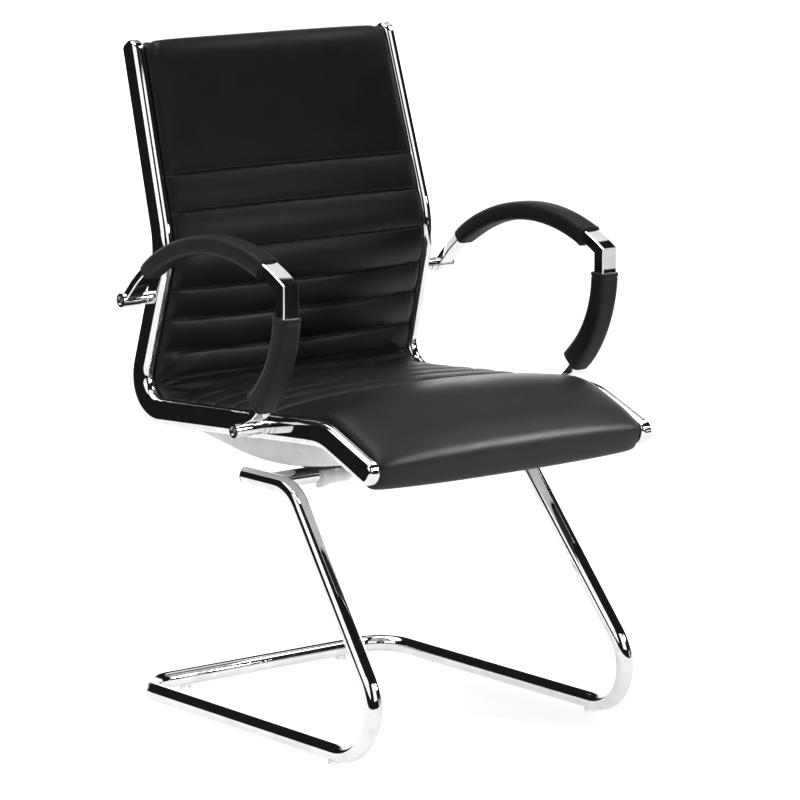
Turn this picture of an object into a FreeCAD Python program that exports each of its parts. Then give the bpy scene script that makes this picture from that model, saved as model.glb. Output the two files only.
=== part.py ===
import FreeCAD, Part
import math
import os
from FreeCAD import Vector

# A cantilever conference chair, in millimetres.
# +Z is up, the sitter faces -Y, and x = 0 is the plane of symmetry.
# The floor is z = 0.

# Side rails: chromed flat-oval tube, bent in one plane that leans in towards the top
RAIL_DEPTH = 38.0
RAIL_WIDTH = 20.0
RAIL_WALL = 1.8
RAIL_OUTER_HALF = 252.0        # outer face from the middle plane, at the seat
RAIL_LEAN = 1.8                # degrees, each rail towards the other
RAIL_LEAN_HEIGHT = 450.0       # height at which the outer face is at RAIL_OUTER_HALF
LUMBAR = (195.0, 662.0)        # y, z where the two straight runs of the back would meet
UPPER_LEAN = 16.7              # degrees from upright, leaning back above the lumbar bend
LOWER_LEAN = 16.0              # degrees from upright, leaning forward below it
UPPER_LENGTH = 289.0           # from the lumbar point to the seam of the top cap
SEAT_RISE = 3.6                # degrees, rising to the front
SEAT_HEIGHT = 448.6            # rail centre above the floor, below the middle of the seat
NOSE_Y = -184.5                # where the seat run meets the falling nose
NOSE_DROP = 21.5               # degrees below level
NOSE_LENGTH = 82.0             # from that meeting point to the seam of the front cap
LUMBAR_RADIUS = 142.0
CORNER_RADIUS = 49.0
NOSE_RADIUS = 90.0
NOSE_JOINT_Y = -158.0          # butt joint between the rail and its nose piece
TOP_CAP_LENGTH = 20.0
FRONT_CAP_LENGTH = 38.0
CAP_SPIGOT = 14.0
SEAM_GAP = 0.4                 # shadow line at each visible joint

# Cantilever base: one bent round tube
TUBE = 25.0
TUBE_WALL = 2.0
RUNNER_HALF = 232.0
STUB_HALF = 207.0
GLIDE_HEIGHT = 4.5
BASE_REAR_Y = 282.5
FRONT_BEND_Y = -346.0          # where runner and upright would meet
UPPER_BEND_Y = -67.5           # where upright and stub would meet
STUB_END_Y = 40.0
STUB_HEIGHT = 364.0
UPPER_BEND_RADIUS = 65.0
FRONT_BEND_RADIUS = 70.0
REAR_CORNER_RADIUS = 55.0
CROSSBAR_Y = -14.0
FRONT_GLIDE_Y = -190.0
REAR_GLIDE_X = 144.0
GLIDE = 17.0
GLIDE_PIN = 5.0
GLIDE_WRAP = 0.55              # share of the tube's radius that a glide's saddle reaches up
PLUG_LIP = 3.0
PLUG_LENGTH = 14.0

# Seat fixing under the shell
PLATE_THICKNESS = 5.0
PLATE_LIFT = 4.3               # gap between crossbar and plate, bridged by the gussets
PLATE_HALF = 160.0
PLATE_FRONT_Y = -64.0
PLATE_STEP_Y = 16.0
TONGUE_HALF = 80.0
TONGUE_END_Y = 92.0
MOUNT_BOLTS = ((-120.0, -46.0), (120.0, -46.0), (-55.0, 70.0), (55.0, 70.0))
MOUNT_BOLT = 8.0
BOLT_HEAD = 5.3
BOLT_ACROSS = 15.0             # over the corners of its hexagon
WASHER = 1.6
WASHER_DIAMETER = 16.0
SPACER = 18.0
TEE_BARREL = 10.8
TEE_FLANGE = 19.0
TEE_HEIGHT = 7.2
CLIP_FROM_X = 75.0
CLIP_TO_X = 125.0
CLIP_COLLAR = 10.0             # length of the collar
CLIP_WALL = 3.2
COLLAR_WALL = 6.5

# Arms: a chromed bar bent to an arch with a mitred elbow, and two slip-on sleeves
ARM_HALF = 283.5               # middle of the arm from the middle plane
ARM_WIDTH = 26.0
ARCH_CENTRE = (-9.5, 419.0)    # y, z
ARCH_RADIUS = 292.0            # upper face of the bar
ARCH_REAR = 43.0               # degrees from the crest, towards the back
BLADE = 12.0                   # bar thickness at its two ends
CREST = 15.0                   # at the crest
ELBOW = 18.0                   # at the mitre, measured square to the arch
POST_FRONT_Y = -166.5          # front face of the upright part of the bar
POST = 20.0
POST_TOP_Z = 635.0             # the post is straight above this height
POST_RADIUS = 217.0            # front face below it
POST_SWEEP = 48.5              # degrees of that bend
ARM_FRONT_BOLT_Y = -54.0
ARM_REAR_BOLT_Z = 600.0
BOSS = 20.0
BOSS_PROUD = 3.0
BOSS_INSIDE = 1.0
ARM_BEVEL = 1.4
COUNTERBORE = 14.0
HEAD_DEPTH = 9.0
SLEEVE_WALL = 2.8
SLEEVE_UNDER = 5.0
SLEEVE_FIT = 0.25
SLEEVE_REAR = 36.0             # degrees from the crest
SLEEVE_FRONT = 22.0
POST_SLEEVE_TOP_Z = 619.0
POST_SLEEVE_SWEEP = 40.8
ARM_BOLT = 8.0
ARM_BOLT_HEAD = 13.0
ARM_HEAD_HEIGHT = 7.5
SOCKET = 6.8                   # over the corners of its hexagon
BUSH = 14.0

# Upholstery on a moulded plywood shell between the rails; offsets from the rail's centre line,
# positive towards the sitter
SHELL_FRONT = 2.0
SHELL_BACK = -8.0
SHELL_TOP = 12.0               # below the seam of the top cap, along the rail
SHELL_END = 30.0               # short of the front cap's seam
SIDE_GAP = 0.5                 # between upholstery and rail
PAD_GAP = 0.3
# seams of the back, along the rail from the top cap's seam; the first one ends the head panel
BACK_SEAMS = (180.5, 234.5, 286.0, 335.5, 383.0, 434.5, 486.0)
SEAT_FIRST = 44.0              # first seam of the seat, past the corner
SEAT_PITCH = 48.0
SEAT_SEAMS = 6
SEAM_DEPTH = 4.0               # how far a sewn seam lies below the crest of its channels
PAD_EDGE = 14.0                # height of the pads where they meet the rails
BACK_CROWN = 33.0
SEAT_CROWN = 36.0
FRONT_CROWN = 42.0
FRONT_EDGE = 17.0
FRONT_TIP = 40.0               # how far the seat's front roll reaches past the front cap's seam
FRONT_TIP_EDGE = 30.0
FRONT_UNDER = 30.0
FRONT_UNDER_EDGE = 26.0
TOP_ROLL = 13.0                # how far the head panel rolls over the top cap's seam
TOP_ROLL_EDGE = 11.0
ROUND = 0.4                    # share of a pad's height that its rounded sides make up
ROUND_POWER = 26               # the higher, the tighter the sides are rounded
CROWN_POWER = 2.6              # the lower, the more the rest is domed from rail to rail
# shares of the half width at which the upholstery is drawn
SHARES = (-1.0, -0.965, -0.85, -0.4, 0.4, 0.85, 0.965, 1.0)
COVER_FRONT = -15.6            # rear panel of the back
COVER_BACK = -18.0
COVER_SWELL = 3.0
COVER_POWER = 14
COVER_END = 30.0               # short of the corner
LINING = 2.0
LINING_DROP = 8.0              # rim of the lining below the shell
LINING_REAR_Y = 196.0
TAB = 60.0
TAB_REACH = 34.0
TAB_THICKNESS = 4.0

MIDDLE_Y = -3.4                # middle of the finished chair's depth, moved to the origin

# Derived
TUBE_R = TUBE / 2
RUNNER_Z = GLIDE_HEIGHT + TUBE_R
PLATE_BOTTOM = STUB_HEIGHT + TUBE_R + PLATE_LIFT
PLATE_TOP = PLATE_BOTTOM + PLATE_THICKNESS
# y, z along the middle of the lining, which rests on the seat plate
PAN = ((110.0, 402.0), (60.0, 389.0), (-20.0, PLATE_TOP + 0.6), (-80.0, 389.5), (-150.0, 404.0))
HEX_ANGLES = [math.radians(60 * k) for k in range(6)]
GLIDE_PLACES = {
    "front_left": (-RUNNER_HALF, FRONT_GLIDE_Y),
    "front_right": (RUNNER_HALF, FRONT_GLIDE_Y),
    "rear_left": (-REAR_GLIDE_X, BASE_REAR_Y),
    "rear_right": (REAR_GLIDE_X, BASE_REAR_Y),
}
RAIL_CENTRE_HALF = RAIL_OUTER_HALF - RAIL_WIDTH / 2
SIDES = (("left", -1), ("right", 1))


def unit(v):
    """The vector at length one."""
    return Vector(v).multiply(1.0 / v.Length)


def bent_edges(points, radii):
    """Straight runs through the points, with a tangent arc of the given radius at each inner one."""
    edges = []
    last = points[0]
    for before, corner, after, radius in zip(points, points[1:], points[2:], radii):
        back = unit(before - corner)
        ahead = unit(after - corner)
        half = back.getAngle(ahead) / 2
        reach = radius / math.tan(half)
        start = corner + back * reach
        end = corner + ahead * reach
        middle = corner + unit(back + ahead) * (radius / math.sin(half) - radius)
        edges.append(Part.LineSegment(last, start).toShape())
        edges.append(Part.Arc(start, middle, end).toShape())
        last = end
    edges.append(Part.LineSegment(last, points[-1]).toShape())
    return edges


def swept(profile, edges):
    """A solid of a closed profile carried along tangent edges."""
    return Part.Wire(edges).makePipe(Part.Face(profile))


def cylinder(radius, start, end):
    """A round bar between two points."""
    return Part.makeCylinder(radius, (end - start).Length, start, end - start)


def box(low, high):
    """A block between two opposite corners."""
    return Part.makeBox(high[0] - low[0], high[1] - low[1], high[2] - low[2], Vector(*low))


def closed_face(edges):
    """A flat face inside a closed chain of edges."""
    return Part.Face(Part.Wire(edges))


def side_edges(points):
    """Edges in the plane x = 0 from a list of (y, z) points; a triple of points makes an arc."""
    edges = []
    for item in points:
        corners = [Vector(0, y, z) for y, z in item]
        kind = Part.LineSegment if len(corners) == 2 else Part.Arc
        edges.append(kind(*corners).toShape())
    return edges


def mirrored(shape):
    """The same piece on the other side of the chair."""
    return shape.mirror(Vector(0, 0, 0), Vector(1, 0, 0))


class RailLine:
    """The rail's centre line in side view: straight runs and arcs, measured from the top cap's seam."""

    def __init__(self):
        upper, lower = math.radians(UPPER_LEAN), math.radians(LOWER_LEAN)
        rise, drop = math.radians(SEAT_RISE), math.radians(NOSE_DROP)
        top = (LUMBAR[0] + UPPER_LENGTH * math.sin(upper), LUMBAR[1] + UPPER_LENGTH * math.cos(upper))
        # the lower back run meets the seat run at the corner
        fall = LUMBAR[1] - SEAT_HEIGHT + LUMBAR[0] * math.tan(rise)
        run = fall / (math.cos(lower) - math.sin(lower) * math.tan(rise))
        corner = (LUMBAR[0] + run * math.sin(lower), LUMBAR[1] - run * math.cos(lower))
        nose = (NOSE_Y, SEAT_HEIGHT - NOSE_Y * math.tan(rise))
        front = (nose[0] - NOSE_LENGTH * math.cos(drop), nose[1] - NOSE_LENGTH * math.sin(drop))
        self.points = [Vector(0, *p) for p in (top, LUMBAR, corner, nose, front)]
        self.radii = [LUMBAR_RADIUS, CORNER_RADIUS, NOSE_RADIUS]
        self.edges = bent_edges(self.points, self.radii)
        self.length = sum(edge.Length for edge in self.edges)

    def frame(self, along):
        """Point, direction and the normal towards the sitter, at a distance along the line."""
        for index, edge in enumerate(self.edges):
            if along <= edge.Length or index == len(self.edges) - 1:
                break
            along -= edge.Length
        share = min(max(along / edge.Length, 0.0), 1.0)
        low, high = edge.ParameterRange
        parameter = low + (high - low) * share
        direction = unit(edge.tangentAt(parameter))
        point = edge.valueAt(parameter) + direction * (along - share * edge.Length)
        return point, direction, Vector(0, direction.z, -direction.y)

    def at(self, along, offset):
        """The (y, z) place at a distance along the line and an offset towards the sitter."""
        point, _, normal = self.frame(along)
        place = point + normal * offset
        return place.y, place.z

    def along_at(self, test):
        """The first distance, to a tenth of a millimetre, at which a test of (y, z) holds."""
        along = 0.0
        while along < self.length and not test(*self.at(along, 0.0)):
            along += 0.1
        return along


LINE = RailLine()
CORNER_ALONG = LINE.along_at(lambda y, z: z < SEAT_HEIGHT)
NOSE_JOINT = LINE.along_at(lambda y, z: z < SEAT_HEIGHT + 60 and y < NOSE_JOINT_Y)
ARM_FRONT = LINE.at(LINE.along_at(lambda y, z: z < SEAT_HEIGHT + 60 and y < ARM_FRONT_BOLT_Y), 0.0)
ARM_REAR = LINE.at(LINE.along_at(lambda y, z: z < ARM_REAR_BOLT_Z), 0.0)
TAB_PLACES = (70.0, 330.0, CORNER_ALONG + 60.0, CORNER_ALONG + 240.0)
SEAT_STOPS = [CORNER_ALONG + SEAT_FIRST + SEAT_PITCH * k for k in range(SEAT_SEAMS)]


def rail_half(z):
    """Distance of the rail's centre from the middle plane at a height."""
    return RAIL_CENTRE_HALF - (z - RAIL_LEAN_HEIGHT) * math.tan(math.radians(RAIL_LEAN))


def lean(shape):
    """Moves a piece made in the plane x = 0 to the right-hand rail's leaning plane."""
    shape.rotate(Vector(0, 0, RAIL_LEAN_HEIGHT), Vector(0, 1, 0), -RAIL_LEAN)
    shape.translate(Vector(RAIL_CENTRE_HALF, 0, 0))
    return shape


def oval(along, inset=0.0):
    """The rail's flat-oval section, square to the centre line, in the plane x = 0."""
    point, direction, normal = LINE.frame(along)
    radius = RAIL_WIDTH / 2 - inset
    reach = RAIL_DEPTH / 2 - RAIL_WIDTH / 2
    side = Vector(1, 0, 0)
    ends = [point + normal * (sign * reach) for sign in (1, -1)]
    a, b = ends[0] + side * radius, ends[0] - side * radius
    c, d = ends[1] - side * radius, ends[1] + side * radius
    arcs = [Part.Arc(a, ends[0] + normal * radius, b), Part.LineSegment(b, c)]
    arcs += [Part.Arc(c, ends[1] - normal * radius, d), Part.LineSegment(d, a)]
    return Part.Wire([arc.toShape() for arc in arcs])


def line_span(start, end):
    """Edges of the centre line between two distances."""
    edges = []
    passed = 0.0
    for edge in LINE.edges:
        low, high = edge.ParameterRange
        scale = (high - low) / edge.Length
        first = max(start - passed, 0.0)
        last = min(end - passed, edge.Length)
        if last - first > 0.001:
            edges.append(edge.Curve.toShape(low + first * scale, low + last * scale))
        passed += edge.Length
    return edges


def rail_tube(start, end):
    """A hollow stretch of flat-oval tube along the centre line."""
    outer = swept(oval(start), line_span(start, end))
    inner = swept(oval(start, RAIL_WALL), line_span(start, end))
    return outer.cut(inner)


def side_rail():
    """Right-hand rail from the top cap's seam to the nose joint, with welded shell tabs and bolt holes."""
    rail = rail_tube(0.0, NOSE_JOINT - SEAM_GAP / 2)
    for along in TAB_PLACES:
        rail = rail.fuse(shell_tab(along))
    rail = lean(rail)
    for place in (ARM_FRONT, ARM_REAR):
        rail = rail.cut(cylinder(BUSH / 2 + 0.05, Vector(150, *place), Vector(300, *place)))
    return rail


def shell_tab(along):
    """A flat steel tab on the rail's inner face, behind the shell."""
    point, direction, normal = LINE.frame(along)
    rear = SHELL_BACK - PAD_GAP
    corners = []
    for reach, offset in ((-RAIL_WIDTH / 2 + 0.5, rear), (-RAIL_WIDTH / 2 - TAB_REACH, rear)):
        corners.append(point - direction * (TAB / 2) + normal * offset + Vector(reach, 0, 0))
    run = direction * TAB
    outline = Part.makePolygon([corners[0], corners[1], corners[1] + run, corners[0] + run, corners[0]])
    return Part.Face(outline).extrude(normal * -TAB_THICKNESS).cut(tab_screw_hole(along))


def tab_screw_hole(along, radius=2.6):
    """The clearance hole of a tab's screw, square to the shell."""
    point, _, normal = LINE.frame(along)
    middle = point + Vector(-RAIL_WIDTH / 2 - TAB_REACH * 0.6, 0, 0)
    return cylinder(radius, middle - normal * 30, middle + normal * 1.0)


def tab_screw(along):
    """A pan-head screw that holds the shell to a tab."""
    point, _, normal = LINE.frame(along)
    middle = point + Vector(-RAIL_WIDTH / 2 - TAB_REACH * 0.6, 0, 0)
    seat = SHELL_BACK - PAD_GAP - TAB_THICKNESS
    shank = cylinder(2.5, middle + normal * seat, middle + normal * 0.5)
    head = cylinder(5.0, middle + normal * (seat - 2.6), middle + normal * seat)
    return head.fuse(shank)


def domed_cap(along, forward, length):
    """A plug cap with a rounded nose for an open rail end; forward is the way out of the rail."""
    point, direction, normal = LINE.frame(along)
    out = direction * forward
    side = Vector(1, 0, 0)
    half = RAIL_DEPTH / 2
    straight = length - half
    base = point + out * (SEAM_GAP / 2)
    shoulder = base + out * straight
    # the nose is a half round in side view, drawn over the tube's flat-oval section
    outline = [Part.LineSegment(base + normal * half, shoulder + normal * half)] if straight > 0.01 else []
    outline.append(Part.Arc(shoulder + normal * half, shoulder + out * half, shoulder - normal * half))
    if straight > 0.01:
        outline.append(Part.LineSegment(shoulder - normal * half, base - normal * half))
    outline.append(Part.LineSegment(base - normal * half, base + normal * half))
    slab = closed_face([edge.toShape() for edge in outline]).extrude(side * RAIL_WIDTH)
    slab.translate(side * (-RAIL_WIDTH / 2))
    section = oval(along)
    section.translate(out * (SEAM_GAP / 2))
    cap = slab.common(Part.Face(section).extrude(out * (length + 1)))
    nose = [edge for edge in cap.Edges if (edge.CenterOfMass - shoulder).dot(out) > half * 0.35]
    rim = [edge for edge in nose if edge.Length > RAIL_DEPTH * 0.6]
    cap = cap.makeFillet(RAIL_WIDTH * 0.3, rim) if rim else cap
    spigot = oval(along, RAIL_WALL + 0.15)
    spigot.translate(out * (SEAM_GAP / 2))
    return cap.fuse(Part.Face(spigot).extrude(out * -CAP_SPIGOT))


def nose_piece():
    """Right-hand bent nose of the rail, with a spigot in the rail's open end."""
    nose = rail_tube(NOSE_JOINT + SEAM_GAP / 2, LINE.length)
    _, direction, _ = LINE.frame(NOSE_JOINT)
    spigot = Part.Face(oval(NOSE_JOINT, RAIL_WALL + 0.15)).extrude(direction * (2 * CAP_SPIGOT))
    spigot.translate(direction * -CAP_SPIGOT)
    return lean(nose.fuse(spigot))


# Cantilever base
def base_path():
    """Corner points of the bent base tube, from the left stub round the floor to the right one."""
    half = [Vector(-STUB_HALF, STUB_END_Y, STUB_HEIGHT), Vector(-STUB_HALF, UPPER_BEND_Y, STUB_HEIGHT)]
    half += [Vector(-RUNNER_HALF, FRONT_BEND_Y, RUNNER_Z), Vector(-RUNNER_HALF, BASE_REAR_Y, RUNNER_Z)]
    other = [Vector(-p.x, p.y, p.z) for p in reversed(half)]
    radii = [UPPER_BEND_RADIUS, FRONT_BEND_RADIUS, REAR_CORNER_RADIUS]
    return bent_edges(half + other, radii + radii[::-1])


def base_tube():
    """The one-piece bent tube, open at its stub ends, with a hole for each glide pin."""
    start = Vector(-STUB_HALF, STUB_END_Y, STUB_HEIGHT)
    edges = base_path()
    solids = []
    for radius in (TUBE_R, TUBE_R - TUBE_WALL):
        ring = Part.Wire(Part.makeCircle(radius, start, Vector(0, -1, 0)))
        solids.append(swept(ring, edges))
    tube = solids[0].cut(solids[1])
    for place in GLIDE_PLACES.values():
        foot = Vector(place[0], place[1], 0)
        tube = tube.cut(cylinder(GLIDE_PIN / 2 + 0.1, foot, foot + Vector(0, 0, RUNNER_Z)))
    return tube


def glide(place, along):
    """A clear foot that saddles the tube, with its press-in pin."""
    foot = Vector(place[0], place[1], 0)
    body = cylinder(GLIDE / 2, foot, foot + Vector(0, 0, RUNNER_Z - TUBE_R * (1 - GLIDE_WRAP)))
    body = body.makeChamfer(0.8, [edge for edge in body.Edges if edge.BoundBox.ZMax < 0.1])
    middle = Vector(place[0], place[1], RUNNER_Z)
    body = body.cut(cylinder(TUBE_R + 0.1, middle - along * 40, middle + along * 40))
    pin_top = RUNNER_Z - TUBE_R + TUBE_WALL + 4
    return body.fuse(cylinder(GLIDE_PIN / 2, foot + Vector(0, 0, 1), foot + Vector(0, 0, pin_top)))


def stub_cap(sign):
    """A domed plastic plug in a stub's open end."""
    end = Vector(sign * STUB_HALF, STUB_END_Y, STUB_HEIGHT)
    seat = end + Vector(0, SEAM_GAP / 2, 0)
    lip = cylinder(TUBE_R, seat, seat + Vector(0, PLUG_LIP, 0))
    lip = lip.makeFillet(PLUG_LIP * 0.66, [edge for edge in lip.Edges if edge.BoundBox.YMin > seat.y + 1])
    plug = cylinder(TUBE_R - TUBE_WALL - 0.1, end - Vector(0, PLUG_LENGTH, 0), seat)
    return lip.fuse(plug)


def crossbar():
    """The tube between the stubs, its ends coped to fit them."""
    ends = [Vector(sign * STUB_HALF, CROSSBAR_Y, STUB_HEIGHT) for sign in (-1, 1)]
    bar = cylinder(TUBE_R, *ends).cut(cylinder(TUBE_R - TUBE_WALL, *ends))
    for end in ends:
        bar = bar.cut(cylinder(TUBE_R + 0.05, end - Vector(0, 60, 0), end + Vector(0, 60, 0)))
    return bar


def crossbar_clip():
    """Right-hand snap-on guard: a slit sleeve with a larger collar at its outer end."""
    axis = [Vector(x, CROSSBAR_Y, STUB_HEIGHT) for x in (CLIP_FROM_X, CLIP_TO_X - CLIP_COLLAR, CLIP_TO_X)]
    clip = cylinder(TUBE_R + CLIP_WALL, *axis[:2]).fuse(cylinder(TUBE_R + COLLAR_WALL, *axis[1:]))
    clip = clip.cut(cylinder(TUBE_R + 0.1, axis[0], axis[2]))
    mouth = Part.makePolygon([axis[0], axis[0] + Vector(0, 40, -18), axis[0] + Vector(0, 8, -44), axis[0]])
    clip = clip.cut(Part.Face(mouth).extrude(axis[2] - axis[0]))
    return clip.cut(box((0, -100, PLATE_BOTTOM - 0.2), (300, 100, PLATE_BOTTOM + 60)))


def mount_plate():
    """The steel seat plate on the crossbar, with a rear tongue, two weld gussets and four bolt holes."""
    corners = [(-PLATE_HALF, PLATE_FRONT_Y), (PLATE_HALF, PLATE_FRONT_Y), (PLATE_HALF, PLATE_STEP_Y)]
    corners += [(TONGUE_HALF, PLATE_STEP_Y), (TONGUE_HALF, TONGUE_END_Y), (-TONGUE_HALF, TONGUE_END_Y)]
    corners += [(-TONGUE_HALF, PLATE_STEP_Y), (-PLATE_HALF, PLATE_STEP_Y)]
    outline = Part.makePolygon([Vector(x, y, PLATE_BOTTOM) for x, y in corners + corners[:1]])
    plate = Part.Face(outline).extrude(Vector(0, 0, PLATE_THICKNESS))
    rounded = [e for e in plate.Edges if e.BoundBox.ZLength > PLATE_THICKNESS * 0.9]
    plate = plate.makeFillet(8.0, rounded)
    for sign in (-1, 1):
        x = sign * PLATE_HALF * 0.3
        gusset = box((x - 3, PLATE_FRONT_Y + 8, STUB_HEIGHT), (x + 3, PLATE_STEP_Y + 20, PLATE_BOTTOM + 1))
        plate = plate.fuse(gusset)
    axis = Vector(0, CROSSBAR_Y, STUB_HEIGHT)
    plate = plate.cut(cylinder(TUBE_R + 0.05, axis - Vector(200, 0, 0), axis + Vector(200, 0, 0)))
    for x, y in MOUNT_BOLTS:
        plate = plate.cut(cylinder(MOUNT_BOLT / 2 + 0.3, Vector(x, y, 300), Vector(x, y, 500)))
    return plate


def shell_underside(y):
    """Height of the shell's lower face on the seat run."""
    rise = math.radians(SEAT_RISE)
    return SEAT_HEIGHT - y * math.tan(rise) + SHELL_BACK / math.cos(rise)


def mount_bolt(x, y):
    """A hexagon bolt from below the plate up into the shell."""
    seat = PLATE_BOTTOM - WASHER
    reach = BOLT_ACROSS / 2
    hexagon = [Vector(x + reach * math.cos(a), y + reach * math.sin(a), seat) for a in HEX_ANGLES]
    head = Part.Face(Part.makePolygon(hexagon + hexagon[:1])).extrude(Vector(0, 0, -BOLT_HEAD))
    return head.fuse(cylinder(MOUNT_BOLT / 2, Vector(x, y, seat), Vector(x, y, shell_underside(y) + 8)))


def mount_washer(x, y):
    """A flat washer under a bolt head."""
    ends = (Vector(x, y, PLATE_BOTTOM - WASHER), Vector(x, y, PLATE_BOTTOM))
    return cylinder(WASHER_DIAMETER / 2, *ends).cut(cylinder(MOUNT_BOLT / 2 + 0.2, *ends))


def mount_spacer(x, y):
    """A steel tube that carries the shell above the plate, cut to the seat's slope."""
    ends = (Vector(x, y, PLATE_TOP), Vector(x, y, PLATE_TOP + 120))
    tube = cylinder(SPACER / 2, *ends).cut(cylinder(MOUNT_BOLT / 2 + 0.3, *ends))
    above = box((x - 20, y - 200, 0), (x + 20, y + 200, 200))
    above.rotate(Vector(x, y, 0), Vector(1, 0, 0), -SEAT_RISE)
    above.translate(Vector(0, 0, shell_underside(y)))
    return tube.cut(above)


def tee_nut(x, y):
    """A tee nut let into the shell from above."""
    low = shell_underside(y) + 1.5
    top = low + TEE_HEIGHT
    barrel = cylinder(TEE_BARREL / 2, Vector(x, y, low), Vector(x, y, top))
    flange = cylinder(TEE_FLANGE / 2, Vector(x, y, top - 1.2), Vector(x, y, top))
    bore = cylinder(MOUNT_BOLT / 2 + 0.1, Vector(x, y, low - 5), Vector(x, y, top + 5))
    return barrel.fuse(flange).cut(bore)


# Upholstery
def sheet_point(along, offset, share):
    """A point between the rails; share runs from -1 at the left rail to 1 at the right one."""
    y, z = LINE.at(along, offset)
    reach = rail_half(z) - RAIL_WIDTH / 2 - SIDE_GAP
    return Vector(share * reach, y, z)


def cell_edges(stops, offset, crest, share):
    """Arcs from stop to stop along the rail line, each rising from the seam's offset to a crest."""
    edges = []
    for first, last in zip(stops, stops[1:]):
        ends = [sheet_point(s, offset, share) for s in (first, last)]
        middle = sheet_point((first + last) / 2, crest, share)
        edges.append(Part.Arc(ends[0], middle, ends[1]).toShape())
    return edges


def joined(points):
    """Straight edges through a list of points."""
    return [Part.LineSegment(a, b).toShape() for a, b in zip(points, points[1:])]


def loft(wires):
    """A smooth solid through closed wires that run from rail to rail."""
    solid = Part.makeLoft(wires, True, False)
    return solid if solid.Volume > 0 else solid.reversed()


def crown(share, edge, full):
    """Height at a share of the half width: tightly rounded sides below a wide dome."""
    sides = 1 - abs(share) ** ROUND_POWER
    dome = 1 - abs(share) ** CROWN_POWER
    return edge + (full - edge) * (ROUND * sides + (1 - ROUND) * dome)


def moulded_shell():
    """Plywood shell in one piece, from the head down through the corner to the front of the seat."""
    first, last = SHELL_TOP, LINE.length - SHELL_END
    wires = []
    for share in (-1.0, 1.0):
        edges = offset_edges(first, last, SHELL_FRONT, share)
        edges += joined([sheet_point(last, n, share) for n in (SHELL_FRONT, SHELL_BACK)])
        edges += offset_edges(last, first, SHELL_BACK, share)
        edges += joined([sheet_point(first, n, share) for n in (SHELL_BACK, SHELL_FRONT)])
        wires.append(Part.Wire(edges))
    shell = Part.makeLoft(wires, True, True)
    for x, y in MOUNT_BOLTS:
        low = shell_underside(y)
        shell = shell.cut(cylinder(TEE_BARREL / 2 + 0.1, Vector(x, y, low - 5), Vector(x, y, low + 30)))
        sink = cylinder(TEE_FLANGE / 2 + 0.2, Vector(x, y, low + TEE_HEIGHT), Vector(x, y, low + 30))
        shell = shell.cut(sink)
    for along in TAB_PLACES:
        hole = lean(tab_screw_hole(along))
        shell = shell.cut(hole).cut(mirrored(hole))
    return shell


def through(start, middle, end):
    """An arc through three points, or a straight edge where they lie in line."""
    bow = middle.distanceToLine(start, end - start)
    edge = Part.LineSegment(start, end) if bow < 0.05 else Part.Arc(start, middle, end)
    return edge.toShape()


def through_all(points):
    """Arcs through an odd number of points, every second one an end."""
    return [through(a, m, b) for a, m, b in zip(points[::2], points[1::2], points[2::2])]


def offset_edges(first, last, offset, share):
    """The rail line between two distances at an offset, run by run, in either direction."""
    low, high = min(first, last), max(first, last)
    knots = [low]
    for edge in line_span(low, high):
        knots.append(knots[-1] + edge.Length)
    if first > last:
        knots.reverse()
    edges = []
    for a, b in zip(knots, knots[1:]):
        edges.append(through(*[sheet_point(along, offset, share) for along in (a, (a + b) / 2, b)]))
    return edges


def pad_wire(stops, share, edge, full):
    """Closed side outline of a channelled pad at one share of the width."""
    crest = crown(share, edge, full)
    seam = max(crest - SEAM_DEPTH, SHELL_FRONT + PAD_GAP + 1.0)
    floor = SHELL_FRONT + PAD_GAP
    edges = cell_edges(stops, seam, crest, share)
    edges += joined([sheet_point(stops[-1], seam, share), sheet_point(stops[-1], floor, share)])
    edges += offset_edges(stops[-1], stops[0], floor, share)
    edges += joined([sheet_point(stops[0], floor, share), sheet_point(stops[0], seam, share)])
    return Part.Wire(edges)


def back_pad():
    """The channelled back cushion, from the head panel's seam to the corner of the seat."""
    return loft([pad_wire(BACK_SEAMS, share, PAD_EDGE, BACK_CROWN) for share in SHARES])


def corner_pad():
    """The last channels, round the corner and over the rear of the seat."""
    stops = [BACK_SEAMS[-1] + PAD_GAP] + SEAT_STOPS
    return loft([pad_wire(stops, share, PAD_EDGE, SEAT_CROWN) for share in SHARES])


def head_pad():
    """The plain padded head panel, rolled over the top edge of the shell."""
    wires = []
    floor = SHELL_FRONT + PAD_GAP
    rear = COVER_FRONT
    for share in SHARES:
        crest = crown(share, PAD_EDGE, BACK_CROWN)
        seam = max(crest - SEAM_DEPTH, floor + 1.0)
        rise = crown(share, TOP_ROLL_EDGE, TOP_ROLL)
        stop = BACK_SEAMS[0] - PAD_GAP
        top = SHELL_TOP - PAD_GAP
        points = [(stop, seam), (stop * 0.52, crest), (16.0, crest - 4.0), (-rise, -2.0), (top, rear)]
        a, b, c, d, e = [sheet_point(s, n, share) for s, n in points]
        edges = [Part.Arc(a, b, c).toShape(), Part.Arc(c, d, e).toShape()]
        edges += joined([e, sheet_point(top, floor, share)])
        edges += offset_edges(top, stop, floor, share)
        edges += joined([sheet_point(stop, floor, share), a])
        wires.append(Part.Wire(edges))
    return loft(wires)


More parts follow.
